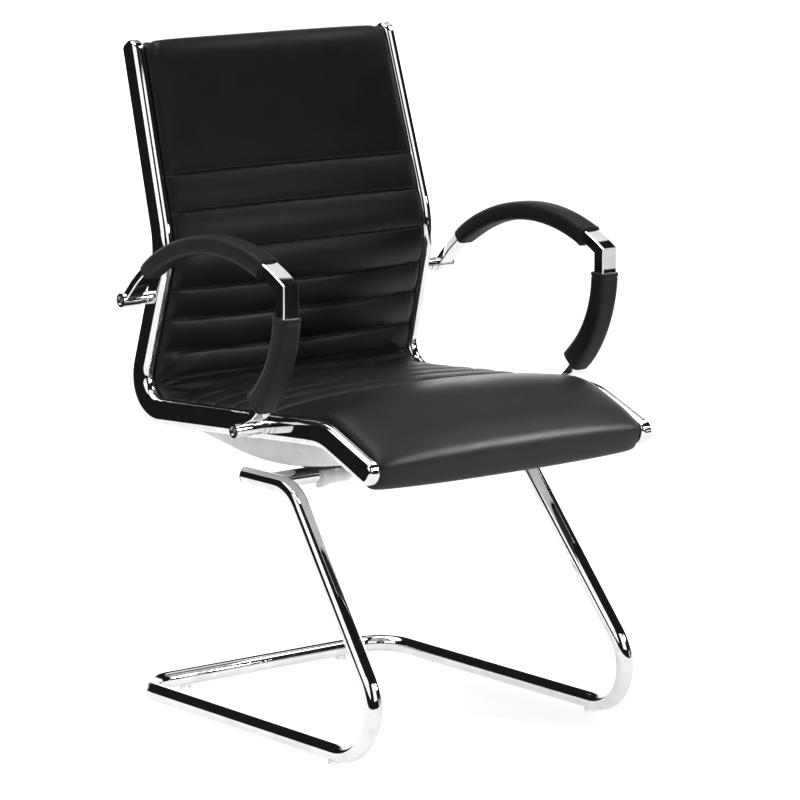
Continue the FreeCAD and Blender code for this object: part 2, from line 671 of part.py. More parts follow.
def front_pad():
    """The plain front of the seat, rolled over the nose and under its front edge."""
    wires = []
    floor = SHELL_FRONT + PAD_GAP
    end = LINE.length - SHELL_END + PAD_GAP
    start = SEAT_STOPS[-1] + PAD_GAP
    for share in SHARES:
        seam = max(crown(share, PAD_EDGE, SEAT_CROWN) - SEAM_DEPTH, floor + 1.0)
        crest = crown(share, FRONT_EDGE, FRONT_CROWN)
        tip = crown(share, FRONT_TIP_EDGE, FRONT_TIP)
        under = -crown(share, FRONT_UNDER_EDGE, FRONT_UNDER)
        # distance along the rail line and offset from it, round the outline from the seam to the underside
        places = [(start, seam), ((start + end) / 2, crest), (end, crest - 3.0)]
        places += [(LINE.length + tip * 0.62, crest * 0.62), (LINE.length + tip, crest * 0.2)]
        places += [(LINE.length + tip * 0.97, under * 0.62), (LINE.length + tip * 0.55, under)]
        outline = [sheet_point(along, offset, share) for along, offset in places]
        edges = through_all(outline)
        edges += joined([outline[-1], sheet_point(end, under * 0.8, share), sheet_point(end, floor, share)])
        edges += offset_edges(end, start, floor, share)
        edges += joined([sheet_point(start, floor, share), outline[0]])
        wires.append(Part.Wire(edges))
    return loft(wires)


def back_cover():
    """The plain rear panel of the back."""
    first, last = SHELL_TOP, CORNER_ALONG - COVER_END
    wires = []
    for share in SHARES:
        rear = COVER_BACK - COVER_SWELL * (1 - abs(share) ** COVER_POWER)
        edges = offset_edges(first, last, COVER_FRONT, share)
        edges += joined([sheet_point(last, n, share) for n in (COVER_FRONT, rear)])
        edges += offset_edges(last, first, rear, share)
        edges += joined([sheet_point(first, n, share) for n in (rear, COVER_FRONT)])
        wires.append(Part.Wire(edges))
    return loft(wires)


def underside_lining():
    """The pale cloth pan that hides the fixing, slung below the shell between the rails."""
    wires = []
    rear_rim = (LINING_REAR_Y, shell_underside(LINING_REAR_Y) - LINING_DROP)
    front_rim = LINE.at(LINE.length - SHELL_END - LINING, -RAIL_DEPTH / 2)
    for share in SHARES:
        depth = 1 - abs(share) ** COVER_POWER
        places = [rear_rim]
        for y, z in PAN:
            rim = shell_underside(y) - LINING_DROP
            places.append((y, rim - (rim - z) * depth))
        places.append(front_rim)
        lower = [share_point(y, z, share) for y, z in places]
        upper = [share_point(y, z + LINING, share) for y, z in places]
        edges = through_all(lower) + joined([lower[-1], upper[-1]])
        edges += through_all(upper[::-1]) + joined([upper[0], lower[0]])
        wires.append(Part.Wire(edges))
    lining = loft(wires)
    for x, y in MOUNT_BOLTS:
        lining = lining.cut(cylinder(SPACER / 2 + 0.3, Vector(x, y, 300), Vector(x, y, 500)))
    return lining


def share_point(y, z, share):
    """A point between the rails from its side-view place."""
    return Vector(share * (rail_half(z) - RAIL_WIDTH / 2 - SIDE_GAP), y, z)


# Arms
def arch_point(angle, radius):
    """Side-view place on a circle about the arch's centre; the angle runs back from the crest."""
    a = math.radians(angle)
    return ARCH_CENTRE[0] + radius * math.sin(a), ARCH_CENTRE[1] + radius * math.cos(a)


def post_point(angle, radius):
    """Side-view place on a circle about the post's centre; the angle runs down from level."""
    a = math.radians(angle)
    centre_y = POST_FRONT_Y + POST_RADIUS
    return centre_y - radius * math.cos(a), POST_TOP_Z - radius * math.sin(a)


def arch_at(y, radius):
    """Side-view place on a circle about the arch's centre, at a given y."""
    return y, ARCH_CENTRE[1] + math.sqrt(radius ** 2 - (y - ARCH_CENTRE[0]) ** 2)


def blade_end(place, angle, half):
    """Both corners of the bar where it runs into a boss; the angle is that of its upper face's normal."""
    a = math.radians(angle)
    return [(place[0] + sign * half * math.sin(a), place[1] + sign * half * math.cos(a)) for sign in (1, -1)]


def arm_outline(grow, under=0.0):
    """Side outline of the bar in the plane x = 0, grown all round and, under the arch, by more."""
    low = grow + under
    front_face = POST_FRONT_Y - grow
    rear_face = POST_FRONT_Y + POST + grow
    crest = arch_point(0.0, ARCH_RADIUS + grow)
    outer = [arch_point(ARCH_REAR, ARCH_RADIUS + grow), crest, arch_at(front_face, ARCH_RADIUS + grow)]
    inner = [arch_at(rear_face, ARCH_RADIUS - ELBOW - low), arch_point(0.0, ARCH_RADIUS - CREST - low)]
    inner.append(arch_point(ARCH_REAR, ARCH_RADIUS - BLADE - low))
    sweeps = (0.0, POST_SWEEP / 2, POST_SWEEP)
    front = [post_point(a, POST_RADIUS + grow) for a in sweeps]
    thickness = (POST, (POST + BLADE) / 2, BLADE)
    rear = [post_point(a, POST_RADIUS - t - grow) for a, t in zip(sweeps, thickness)]
    rear_end = blade_end(ARM_REAR, ARCH_REAR, BLADE / 2 + grow)
    front_end = blade_end(ARM_FRONT, POST_SWEEP - 90.0, -BLADE / 2 - grow)
    chain = [(rear_end[0], outer[0]), outer, (outer[2], front[0]), front, (front[2], front_end[1])]
    chain += [(front_end[1], front_end[0]), (front_end[0], rear[2]), rear[::-1], (rear[0], inner[0])]
    chain += [inner, (inner[2], rear_end[1]), (rear_end[1], rear_end[0])]
    return Part.Wire(side_edges(chain))


def arm_slab(steps, under=0.0):
    """A slab about the right-hand arm's middle plane through (half width, growth) steps, widest last."""
    wires = []
    for half, grow in steps[::-1] + [(-half, grow) for half, grow in steps]:
        wire = arm_outline(grow, under)
        wire.translate(Vector(ARM_HALF + half, 0, 0))
        wires.append(wire)
    return Part.makeLoft(wires[::-1], True, True)


def arm_frame():
    """Right-hand arm bar, one piece with bevelled edges, with a counterbored boss at each end."""
    half = ARM_WIDTH / 2
    bar = arm_slab([(half - ARM_BEVEL, 0.0), (half, -ARM_BEVEL)])
    outer = ARM_HALF + half + BOSS_PROUD
    inner = ARM_HALF - half - BOSS_INSIDE
    for place in (ARM_FRONT, ARM_REAR):
        bar = bar.fuse(cylinder(BOSS / 2, Vector(inner, *place), Vector(outer, *place)))
    for place in (ARM_FRONT, ARM_REAR):
        bar = bar.cut(cylinder(ARM_BOLT / 2 + 0.2, Vector(inner - 5, *place), Vector(outer + 5, *place)))
        sink = cylinder(COUNTERBORE / 2, Vector(outer - HEAD_DEPTH, *place), Vector(outer + 5, *place))
        bar = bar.cut(sink)
    return bar


def sector(centre, first, last, reach):
    """A wedge in side view from one direction to another, as a slab through the right-hand arm."""
    points = [Vector(0, *centre)]
    for k in range(5):
        a = math.radians(first + (last - first) * k / 4)
        points.append(Vector(0, centre[0] + reach * math.sin(a), centre[1] + reach * math.cos(a)))
    wedge = Part.Face(Part.makePolygon(points + points[:1])).extrude(Vector(80, 0, 0))
    wedge.translate(Vector(ARM_HALF - 40, 0, 0))
    return wedge


def sleeve(wedge, under):
    """A sleeve round the bar inside a wedge, its long edges softened."""
    half = ARM_WIDTH / 2
    soft = SLEEVE_WALL * 0.3
    steps = [(half - SLEEVE_WALL * 0.6, SLEEVE_WALL), (half + SLEEVE_WALL * 0.4, SLEEVE_WALL - soft)]
    steps.append((half + SLEEVE_WALL, -SLEEVE_WALL * 0.6))
    outer = arm_slab(steps, under).common(wedge)
    return outer.cut(arm_slab([(half - ARM_BEVEL, SLEEVE_FIT), (half + SLEEVE_FIT, SLEEVE_FIT - ARM_BEVEL)]))


def arm_sleeve():
    """The padded sleeve over the arch."""
    return sleeve(sector(ARCH_CENTRE, SLEEVE_REAR, -SLEEVE_FRONT, 500.0), SLEEVE_UNDER - SLEEVE_WALL)


def post_sleeve():
    """The sleeve down the front post."""
    centre = (POST_FRONT_Y + POST_RADIUS, POST_SLEEVE_TOP_Z)
    return sleeve(sector(centre, -90.0, -90.0 - POST_SLEEVE_SWEEP, 400.0), 0.0)


def arm_spacers():
    """Grooved bushes between the arm's bosses and the rail."""
    solids = []
    for place in (ARM_FRONT, ARM_REAR):
        near = rail_half(place[1]) + RAIL_WIDTH / 2 + 0.5
        far = ARM_HALF - ARM_WIDTH / 2 - 1.1
        ends = (Vector(near, *place), Vector(far, *place))
        bush = cylinder(BOSS / 2 - 0.6, *ends)
        middle = (near + far) / 2
        ring = cylinder(BOSS / 2 + 1, Vector(middle - 1, *place), Vector(middle + 1, *place))
        core = cylinder(BOSS / 2 - 2.2, Vector(middle - 2, *place), Vector(middle + 2, *place))
        bore = cylinder(ARM_BOLT / 2 + 0.2, Vector(near - 5, *place), Vector(far + 5, *place))
        solids.append(bush.cut(ring.cut(core)).cut(bore))
    return Part.makeCompound(solids)


def arm_bolts():
    """Socket-head bolts through the bosses into the rail's bushes."""
    solids = []
    outer = ARM_HALF + ARM_WIDTH / 2 + BOSS_PROUD
    for place in (ARM_FRONT, ARM_REAR):
        seat = outer - HEAD_DEPTH
        top = seat + ARM_HEAD_HEIGHT
        head = cylinder(ARM_BOLT_HEAD / 2, Vector(seat, *place), Vector(top, *place))
        reach = SOCKET / 2
        ring = [(place[0] + reach * math.sin(a), place[1] + reach * math.cos(a)) for a in HEX_ANGLES]
        corners = [Vector(top - ARM_BOLT / 2, y, z) for y, z in ring]
        socket = Part.Face(Part.makePolygon(corners + corners[:1])).extrude(Vector(10, 0, 0))
        tip = rail_half(place[1]) - RAIL_WIDTH / 2 + 2
        shank = cylinder(ARM_BOLT / 2, Vector(tip, *place), Vector(seat, *place))
        solids.append(head.cut(socket).fuse(shank))
    return Part.makeCompound(solids)


def rail_bushes():
    """Threaded bushes set across the rail for the arm bolts."""
    solids = []
    for place in (ARM_FRONT, ARM_REAR):
        middle = rail_half(place[1])
        ends = (Vector(middle - RAIL_WIDTH / 2 + 0.4, *place), Vector(middle + RAIL_WIDTH / 2 - 0.4, *place))
        solids.append(cylinder(BUSH / 2, *ends).cut(cylinder(ARM_BOLT / 2 + 0.1, *ends)))
    return Part.makeCompound(solids)


def pair(pieces, name, right):
    """Adds a right-hand piece and its mirror image under their two names."""
    pieces["right_" + name] = right
    pieces["left_" + name] = mirrored(right)


def build():
    """Every piece of the chair by its node name."""
    pieces = {"base_tube": base_tube(), "base_crossbar": crossbar()}
    for name, place in GLIDE_PLACES.items():
        along = Vector(0, 1, 0) if name.startswith("front") else Vector(1, 0, 0)
        pieces["glide_" + name] = glide(place, along)
    for name, sign in SIDES:
        pieces[name + "_stub_cap"] = stub_cap(sign)
    pair(pieces, "crossbar_clip", crossbar_clip())
    pieces["seat_mount_plate"] = mount_plate()
    makers = {"mount_bolts": mount_bolt, "mount_washers": mount_washer}
    makers.update({"mount_spacers": mount_spacer, "tee_nuts": tee_nut})
    for name, maker in makers.items():
        pieces[name] = Part.makeCompound([maker(x, y) for x, y in MOUNT_BOLTS])
    pair(pieces, "side_rail", side_rail())
    pair(pieces, "rail_nose", nose_piece())
    pair(pieces, "top_cap", lean(domed_cap(0.0, -1, TOP_CAP_LENGTH)))
    pair(pieces, "front_cap", lean(domed_cap(LINE.length, 1, FRONT_CAP_LENGTH)))
    screws = [lean(tab_screw(along)) for along in TAB_PLACES]
    pieces["shell_screws"] = Part.makeCompound(screws + [mirrored(s) for s in screws])
    pieces["moulded_shell"] = moulded_shell()
    pieces["head_pad"] = head_pad()
    pieces["back_pad"] = back_pad()
    pieces["seat_rear_pad"] = corner_pad()
    pieces["seat_front_pad"] = front_pad()
    pieces["back_cover"] = back_cover()
    pieces["underside_lining"] = underside_lining()
    pair(pieces, "arm_frame", arm_frame())
    pair(pieces, "arm_sleeve", arm_sleeve())
    pair(pieces, "post_sleeve", post_sleeve())
    pair(pieces, "arm_spacers", arm_spacers())
    pair(pieces, "arm_bolts", arm_bolts())
    pair(pieces, "rail_bushes", rail_bushes())
    return pieces


os.makedirs("parts", exist_ok=True)
for node, shape in build().items():
    shape.translate(Vector(0, -MIDDLE_Y, 0))
    shape.exportStep("parts/" + node + ".step")
    print("%-20s solids %d valid %s volume %.0f" % (node, len(shape.Solids), shape.isValid(), shape.Volume))
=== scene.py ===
import logging
import math
from dataclasses import dataclass, field
from enum import Enum
from typing import Sequence

import bpy
import numpy as np
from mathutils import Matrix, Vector


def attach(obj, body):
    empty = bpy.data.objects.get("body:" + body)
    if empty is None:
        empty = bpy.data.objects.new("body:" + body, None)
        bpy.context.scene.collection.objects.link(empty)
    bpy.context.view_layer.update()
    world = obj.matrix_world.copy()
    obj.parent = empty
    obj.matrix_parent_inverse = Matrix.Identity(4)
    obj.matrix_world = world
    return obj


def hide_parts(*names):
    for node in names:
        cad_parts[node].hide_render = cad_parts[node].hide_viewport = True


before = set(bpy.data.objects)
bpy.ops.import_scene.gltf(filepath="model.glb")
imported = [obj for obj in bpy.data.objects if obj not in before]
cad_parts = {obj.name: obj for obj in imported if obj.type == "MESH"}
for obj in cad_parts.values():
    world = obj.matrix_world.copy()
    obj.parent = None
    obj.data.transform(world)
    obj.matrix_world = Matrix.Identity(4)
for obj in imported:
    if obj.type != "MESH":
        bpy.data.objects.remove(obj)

logging.basicConfig(level=logging.INFO, format="%(message)s")
log = logging.getLogger("chair")

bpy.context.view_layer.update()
MM = 0.001
WHITE = (1.0, 1.0, 1.0, 1.0)

Array = np.ndarray
Tree = bpy.types.NodeTree
Socket = bpy.types.NodeSocket
Point = tuple[float, float, float]
Pair = tuple[float, float]
Patterns = tuple[Socket, Socket | None]
Fixed = tuple[tuple[str, float | tuple[float, ...]], ...]


# Colour and shader helpers
def linear(code: str) -> tuple[float, ...]:
    """Turn an sRGB hex code into linear RGBA: a straight line near black, a power law above it.

    Args:
        code: colour such as "#1a1a1a".
    Returns:
        Linear red, green, blue and an alpha of 1.
    """
    raw = np.array([int(code[k:k + 2], 16) for k in (1, 3, 5)]) / 255.0
    low = raw / 12.92
    high = ((raw + 0.055) / 1.055) ** 2.4
    return (*np.where(raw <= 0.04045, low, high).tolist(), 1.0)


def add(tree: Tree, kind: str, settings: dict | None = None, links: dict | None = None) -> bpy.types.Node:
    """Add one shader node.

    Args:
        tree: node tree that gets the node.
        kind: type name without the ShaderNode prefix.
        settings: attributes, or values of input sockets, by name.
        links: output sockets to join, by name or index of the input.
    Returns:
        The new node.
    """
    node = tree.nodes.new("ShaderNode" + kind)
    for name, value in (settings or {}).items():
        if name in node.inputs:
            node.inputs[name].default_value = value
        else:
            setattr(node, name, value)
    for name, socket in (links or {}).items():
        tree.links.new(socket, node.inputs[name])
    return node


def cells_per_metre(size_mm: float) -> float:
    """Scale of a pattern in object space.

    Args:
        size_mm: real size of one cell in millimetres.
    Returns:
        The texture scale.
    """
    return 1.0 / (size_mm * MM)


# Finishes
@dataclass(frozen=True)
class Finish:
    """A procedural material named for the real one.

    A tone pattern moves colour and gloss between two ends, a height pattern makes the fine relief, and
    what is the same all over is fixed on the shader's own sockets.
    """

    name: str
    dark: str = "#161616"
    light: str = "#1c1c1c"
    gloss: Pair | None = (0.28, 0.4)
    fixed: Fixed = ()
    tone_mm: float = 12.0
    tone_layers: float = 4.0
    tone_rough: float = 0.5
    fine_mm: float = 0.35
    fine_layers: float = 2.0
    strength: float = 0.15
    depth_mm: float = 0.05
    tone_ends: Pair = (0.3, 0.7)
    gloss_ends: Pair = (0.3, 0.7)
    stretch: Point | None = None

    def patterns(self, place: Socket) -> Patterns:
        """Patterns of an even surface: broad noise, drawn out on wood, and fine noise for the relief.

        Args:
            place: object coordinates.
        Returns:
            Tone, and height if there is a relief.
        """
        tree, drawn, height = place.id_data, place, None
        if self.stretch:
            drawn = add(tree, "Mapping", {"Scale": self.stretch}, {"Vector": place}).outputs["Vector"]
        if self.strength:
            fine = {"Scale": cells_per_metre(self.fine_mm), "Detail": self.fine_layers}
            height = add(tree, "TexNoise", fine, {"Vector": place}).outputs["Fac"]
        broad = {"Scale": cells_per_metre(self.tone_mm), "Detail": self.tone_layers,
                 "Roughness": self.tone_rough}
        return add(tree, "TexNoise", broad, {"Vector": drawn}).outputs["Fac"], height

    def material(self) -> bpy.types.Material:
        """Make the material once and hand it out again later.

        Returns:
            The material.
        """
        made = bpy.data.materials.get(self.name)
        if made is not None:
            return made
        made = bpy.data.materials.new(self.name)
        made.use_nodes = True
        tree = made.node_tree
        tree.nodes.clear()
        tone, height = self.patterns(add(tree, "TexCoord").outputs["Object"])
        ramp = add(tree, "ValToRGB", links={"Fac": tone})
        for mark, place, code in zip(ramp.color_ramp.elements, self.tone_ends, (self.dark, self.light)):
            mark.position, mark.color = place, linear(code)
        links = {"Base Color": ramp.outputs["Color"]}
        if self.gloss is not None:
            ends = dict(zip(("From Min", "From Max", "To Min", "To Max"), self.gloss_ends + self.gloss))
            links["Roughness"] = add(tree, "MapRange", ends, {"Value": tone}).outputs["Result"]
        if height is not None:
            relief = {"Strength": self.strength, "Distance": self.depth_mm * MM}
            links["Normal"] = add(tree, "Bump", relief, {"Height": height}).outputs["Normal"]
        shader = add(tree, "BsdfPrincipled", dict(self.fixed), links)
        add(tree, "OutputMaterial", links={"Surface": shader.outputs["BSDF"]})
        return made


@dataclass(frozen=True)
class Metal(Finish):
    """Plated or bare metal with a faint unevenness of the polish."""

    dark: str = "#d9dbdd"
    light: str = "#e6e8ea"
    gloss: Pair = (0.03, 0.06)
    fixed: Fixed = (("Metallic", 1.0),)
    tone_mm: float = 28.0
    tone_layers: float = 3.0
    fine_mm: float = 0.8
    strength: float = 0.02
    depth_mm: float = 0.1


@dataclass(frozen=True)
class Plastic(Finish):
    """Moulded plastic with a fine spark-eroded texture."""

    fixed: Fixed = (("IOR", 1.49),)


@dataclass(frozen=True)
class Leather(Finish):
    """Black leather: pebbled grain, drawn rather coarse so that it shows, and broader tone changes."""

    dark: str = "#101010"
    light: str = "#171717"
    gloss: Pair = (0.40, 0.48)
    fixed: Fixed = (("Specular IOR Level", 0.19), ("IOR", 1.5))
    tone_mm: float = 60.0
    tone_layers: float = 5.0
    tone_rough: float = 0.6
    fine_mm: float = 0.5
    fine_layers: float = 3.0
    strength: float = 0.5
    depth_mm: float = 0.10
    tone_ends: Pair = (0.3, 0.72)
    grain_mm: float = 1.3
    flat_cell: float = 0.28
    pore_share: float = 0.25
    bend_mm: float = 2.5
    bend_reach_mm: float = 0.8

    def patterns(self, place: Socket) -> Patterns:
        """Patterns of leather: broad noise for the tone, bent cells with fine pores for the grain.

        Args:
            place: object coordinates.
        Returns:
            Tone and height.
        """
        tree = place.id_data
        tone, pores = super().patterns(place)
        curl = {"Scale": cells_per_metre(self.bend_mm), "Detail": 2.0}
        bend = add(tree, "TexNoise", curl, {"Vector": place}).outputs["Color"]
        reach = {"operation": "SCALE", "Scale": self.bend_reach_mm * MM}
        shift = add(tree, "VectorMath", reach, {0: bend}).outputs[0]
        moved = add(tree, "VectorMath", {"operation": "ADD"}, {0: place, 1: shift}).outputs[0]
        grain = {"feature": "DISTANCE_TO_EDGE", "Scale": cells_per_metre(self.grain_mm)}
        cells = add(tree, "TexVoronoi", grain, {"Vector": moved}).outputs["Distance"]
        pebble = add(tree, "MapRange", {"From Max": self.flat_cell}, {"Value": cells}).outputs["Result"]
        mix = {"blend_type": "MIX", "Fac": self.pore_share}
        return tone, add(tree, "MixRGB", mix, {"Color1": pebble, "Color2": pores}).outputs[0]


@dataclass(frozen=True)
class Cloth(Finish):
    """Plain woven cloth: two crossed rows of threads, drawn coarse so that they show."""

    dark: str = "#b4b4b6"
    light: str = "#dedede"
    gloss: Pair | None = None
    fixed: Fixed = (("Roughness", 0.85), ("Sheen Weight", 0.15))
    tone_mm: float = 35.0
    strength: float = 0.4
    depth_mm: float = 0.2
    tone_ends: Pair = (0.15, 0.7)
    thread_mm: float = 0.9
    bands: float = 3.2
    blotch_share: float = 0.55

    def patterns(self, place: Socket) -> Patterns:
        """Patterns of cloth: two crossed waves make the weave, and noise adds blotches to its tone.

        Args:
            place: object coordinates.
        Returns:
            Tone and height.
        """
        tree = place.id_data
        rows = {"Scale": cells_per_metre(self.thread_mm) / self.bands, "Distortion": 0.6, "Detail": 1.0}
        ways = [{"bands_direction": way, **rows} for way in "XY"]
        warp, weft = (add(tree, "TexWave", way, {"Vector": place}).outputs["Color"] for way in ways)
        cross = {"blend_type": "MULTIPLY", "Fac": 1.0}
        weave = add(tree, "MixRGB", cross, {"Color1": warp, "Color2": weft}).outputs[0]
        spots = {"Scale": cells_per_metre(self.tone_mm), "Detail": self.tone_layers}
        blotch = add(tree, "TexNoise", spots, {"Vector": place}).outputs["Fac"]
        mix = {"blend_type": "MIX", "Fac": self.blotch_share}
        return add(tree, "MixRGB", mix, {"Color1": weave, "Color2": blotch}).outputs[0], weave


@dataclass(frozen=True)
class Thread(Finish):
    """Twisted sewing thread: slanting plies, drawn coarse so that they show."""

    dark: str = "#1e1e1e"
    light: str = "#424242"
    gloss: Pair = (0.5, 0.65)
    tone_ends: Pair = (0.2, 0.8)
    gloss_ends: Pair = (0.0, 1.0)
    ply_mm: float = 0.5
    bands: float = 6.3

    def patterns(self, place: Socket) -> Patterns:
        """Patterns of thread: one slanting wave for the tone.

        Args:
            place: object coordinates.
        Returns:
            Tone, and no height.
        """
        scale = cells_per_metre(self.ply_mm) / self.bands
        twist = {"bands_direction": "DIAGONAL", "Scale": scale, "Distortion": 1.0}
        return add(place.id_data, "TexWave", twist, {"Vector": place}).outputs["Fac"], None


@dataclass(frozen=True)
class Plywood(Finish):
    """Beech plywood: grain cells of 18 mm along the fibre and 1.2 mm across."""

    dark: str = "#a9794d"
    light: str = "#d9b485"
    gloss: Pair = (0.45, 0.6)
    tone_mm: float = 1000.0 / 14.0
    tone_layers: float = 6.0
    tone_rough: float = 0.65
    strength: float = 0.0
    gloss_ends: Pair = (0.0, 1.0)
    stretch: Point = (4.0, 60.0, 60.0)


class Slot(Enum):
    """The record's material slots, by their labels in capitals, with the finish of each."""

    # Polished plating: a mirror with sharp black and white bands.
    CHROME_PLATE = Metal("chrome plated steel")
    # Dull plating: a soft grey sheen.
    ZINC_PLATED_STEEL = Metal("zinc plated steel", "#b4b8bc", "#d3d6d9", (0.12, 0.22),
                              tone_mm=9.0, strength=0.1)
    # Moulded clear: light passes, and glints mark the rim.
    CLEAR_GLIDE_PLASTIC = Plastic("clear polycarbonate", "#dfe3e4", "#eef0f0", (0.08, 0.16),
                                  (("IOR", 1.49), ("Transmission Weight", 0.75)))
    # Moulded black: half gloss with one soft highlight.
    BLACK_PLUG_PLASTIC = Plastic("black polypropylene")
    # Moulded ivory: pale and half matt.
    IVORY_CLIP_PLASTIC = Plastic("ivory nylon", "#d9d7d0", "#e6e4de", (0.3, 0.42))
    # Sprayed and baked: flat black with a faint sheen.
    BLACK_PAINTED_STEEL = Plastic("black powder coat", "#121212", "#1a1a1a", (0.4, 0.55))
    # Pressed veneers: warm brown with long fine grain.
    BEECH_PLYWOOD = Plywood("beech plywood")
    # Finished hide: deep black with broad soft highlights.
    BLACK_LEATHER = Leather("black leather")
    # Hide left matt: charcoal with hardly any shine.
    SLEEVE_LEATHER = Leather("matt sleeve leather", "#161616", "#1e1e1e", (0.52, 0.62),
                             (("Specular IOR Level", 0.16), ("IOR", 1.5)), depth_mm=0.08, grain_mm=0.9)
    # Plain weave: pale and quite matt.
    PALE_GREY_LINING = Cloth("pale lining cloth")


# Mesh helpers
def grid_faces(rows: int, columns: int, ring: bool = False, flip: bool = False) -> Array:
    """Quads of a grid whose vertices run row by row.

    Args:
        rows: number of rows.
        columns: number of columns.
        ring: whether the last column joins the first.
        flip: whether the faces turn the other way.
    Returns:
        Index array with four columns.
    """
    index = np.arange(rows * columns).reshape(rows, columns)
    if ring:
        index = np.concatenate([index, index[:, :1]], axis=1)
    corners = [index[:-1, :-1], index[1:, :-1], index[1:, 1:], index[:-1, 1:]]
    quads = np.stack(corners, axis=-1).reshape(-1, 4)
    return quads[:, ::-1] if flip else quads


def closed_sheet(outer: Array, inner: Array) -> tuple[Array, Array]:
    """Two grids of the same shape, closed all round into one body.

    Args:
        outer: rows by columns by 3, its faces turned outward.
        inner: the same for the other side.
    Returns:
        Vertices and quads.
    """
    rows, columns = outer.shape[:2]
    count = rows * columns
    index = np.arange(count).reshape(rows, columns)
    border = np.concatenate([index[0, :-1], index[:-1, -1], index[-1, :0:-1], index[:0:-1, 0]])
    following = np.roll(border, -1)
    rim = np.stack([border, following, following + count, border + count], axis=-1)
    quads = np.concatenate([grid_faces(rows, columns), grid_faces(rows, columns, flip=True) + count, rim])
    return np.concatenate([outer.reshape(-1, 3), inner.reshape(-1, 3)]), quads


def put(name: str, points: Array, quads: Array, more: Array | None = None) -> bpy.types.Object:
    """Make a smooth mesh object.

    Args:
        name: name of the object.
        points: vertices.
        quads: faces.
        more: further faces with another number of corners.
    Returns:
        The object, linked to the scene.
    """
    mesh = bpy.data.meshes.new(name)
    faces = quads.tolist() + ([] if more is None else more.tolist())
    mesh.from_pydata(points.astype(float), [], faces)
    mesh.polygons.foreach_set("use_smooth", np.ones(len(faces), dtype=bool))
    mesh.update()
    piece = bpy.data.objects.new(name, mesh)
    bpy.context.scene.collection.objects.link(piece)
    return piece


def dress(piece: bpy.types.Object, slot: Slot, nodes: Sequence[str] = (),
          material: bpy.types.Material | None = None) -> None:
    """Give a piece its finish from its slot and its body, and hide the solids it stands for.

    Args:
        piece: the object.
        slot: its material slot.
        nodes: solids that it replaces.
        material: a material other than the slot's own.
    """
    piece.data.materials.clear()
    piece.data.materials.append(material or slot.value.material())
    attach(piece, "root")
    if nodes:
        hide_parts(*nodes)
    log.info("%s: %d vertices, %s", piece.name, len(piece.data.vertices), slot.name.lower())


def smooth_noise(shape: tuple[int, int], cells: tuple[int, int], seed: int) -> Array:
    """Even random waves from -1 to 1: a coarse random grid spread with a cosine blend.

    Args:
        shape: rows and columns of the result.
        cells: rows and columns of the coarse grid.
        seed: start of the random row.
    Returns:
        Array of the given shape.
    """
    coarse = np.random.default_rng(seed).uniform(-1.0, 1.0, (cells[0] + 1, cells[1] + 1))
    u = np.linspace(0.0, cells[0] - 1e-6, shape[0])[:, None]
    v = np.linspace(0.0, cells[1] - 1e-6, shape[1])[None, :]
    i, j = u.astype(int), v.astype(int)
    a = 0.5 - 0.5 * np.cos(np.pi * (u - i))
    b = 0.5 - 0.5 * np.cos(np.pi * (v - j))
    top = coarse[i, j] * (1 - b) + coarse[i, j + 1] * b
    low = coarse[i + 1, j] * (1 - b) + coarse[i + 1, j + 1] * b
    return top * (1 - a) + low * a


def grid_normals(grid: Array) -> Array:
    """Unit normals of a grid, from the cross product of its column and row directions.

    Args:
        grid: rows by columns by 3.
    Returns:
        Normals of the same shape.
    """
    normal = np.cross(np.gradient(grid, axis=0), np.gradient(grid, axis=1))
    return normal / np.maximum(np.linalg.norm(normal, axis=-1, keepdims=True), 1e-12)


def resample(values: Array, rows: Array, columns: Array,
             row: Array, column: Array) -> Array:
    """Straight-line blend of grid values between their four neighbours.

    Args:
        values: rows by columns by any number.
        rows: rising parameter of the rows.
        columns: rising parameter of the columns.
        row: wanted row parameters.
        column: wanted column parameters.
    Returns:
        Values at the wanted places.
    """
    row, column = np.broadcast_arrays(row, column)
    i = np.clip(np.searchsorted(rows, row, side="right") - 1, 0, len(rows) - 2)
    j = np.clip(np.searchsorted(columns, column, side="right") - 1, 0, len(columns) - 2)
    u = ((row - rows[i]) / (rows[i + 1] - rows[i]))[..., None].clip(0.0, 1.0)
    v = ((column - columns[j]) / (columns[j + 1] - columns[j]))[..., None].clip(0.0, 1.0)
    near = values[i, j] * (1 - v) + values[i, j + 1] * v
    far = values[i + 1, j] * (1 - v) + values[i + 1, j + 1] * v
    return near * (1 - u) + far * u


def blown(rest: Array, quads: Array, pins: Array, pressure: float, slack: float,
          frames: int = 20) -> Array:
    """Swell a closed body with cloth simulation.

    Args:
        rest: vertices at rest.
        quads: faces.
        pins: which vertices are held.
        pressure: pressure from inside.
        slack: share by which the cloth is longer than its rest shape.
        frames: number of frames.
    Returns:
        Vertices after the last frame.
    """
    scene = bpy.context.scene
    piece = put("cloth_copy", rest, quads)
    group = piece.vertex_groups.new(name="held")
    group.add(np.flatnonzero(pins).tolist(), 1.0, "REPLACE")
    cloth = piece.modifiers.new("cloth", "CLOTH")
    settings = cloth.settings
    settings.vertex_group_mass = "held"
    settings.use_pressure = True
    settings.uniform_pressure_force = pressure
    settings.shrink_min = -slack
    settings.quality = 6
    settings.bending_stiffness = 0.3
    settings.effector_weights.gravity = 0.0
    cloth.collision_settings.use_collision = False
    cloth.point_cache.frame_start, cloth.point_cache.frame_end = 1, frames
    for number in range(1, frames + 1):
        scene.frame_set(number)
    state = piece.evaluated_get(bpy.context.evaluated_depsgraph_get())
    moved = np.empty(rest.size)
    state.data.vertices.foreach_get("co", moved)
    mesh = piece.data
    bpy.data.objects.remove(piece)
    bpy.data.meshes.remove(mesh)
    scene.frame_set(1)
    return moved.reshape(-1, 3)


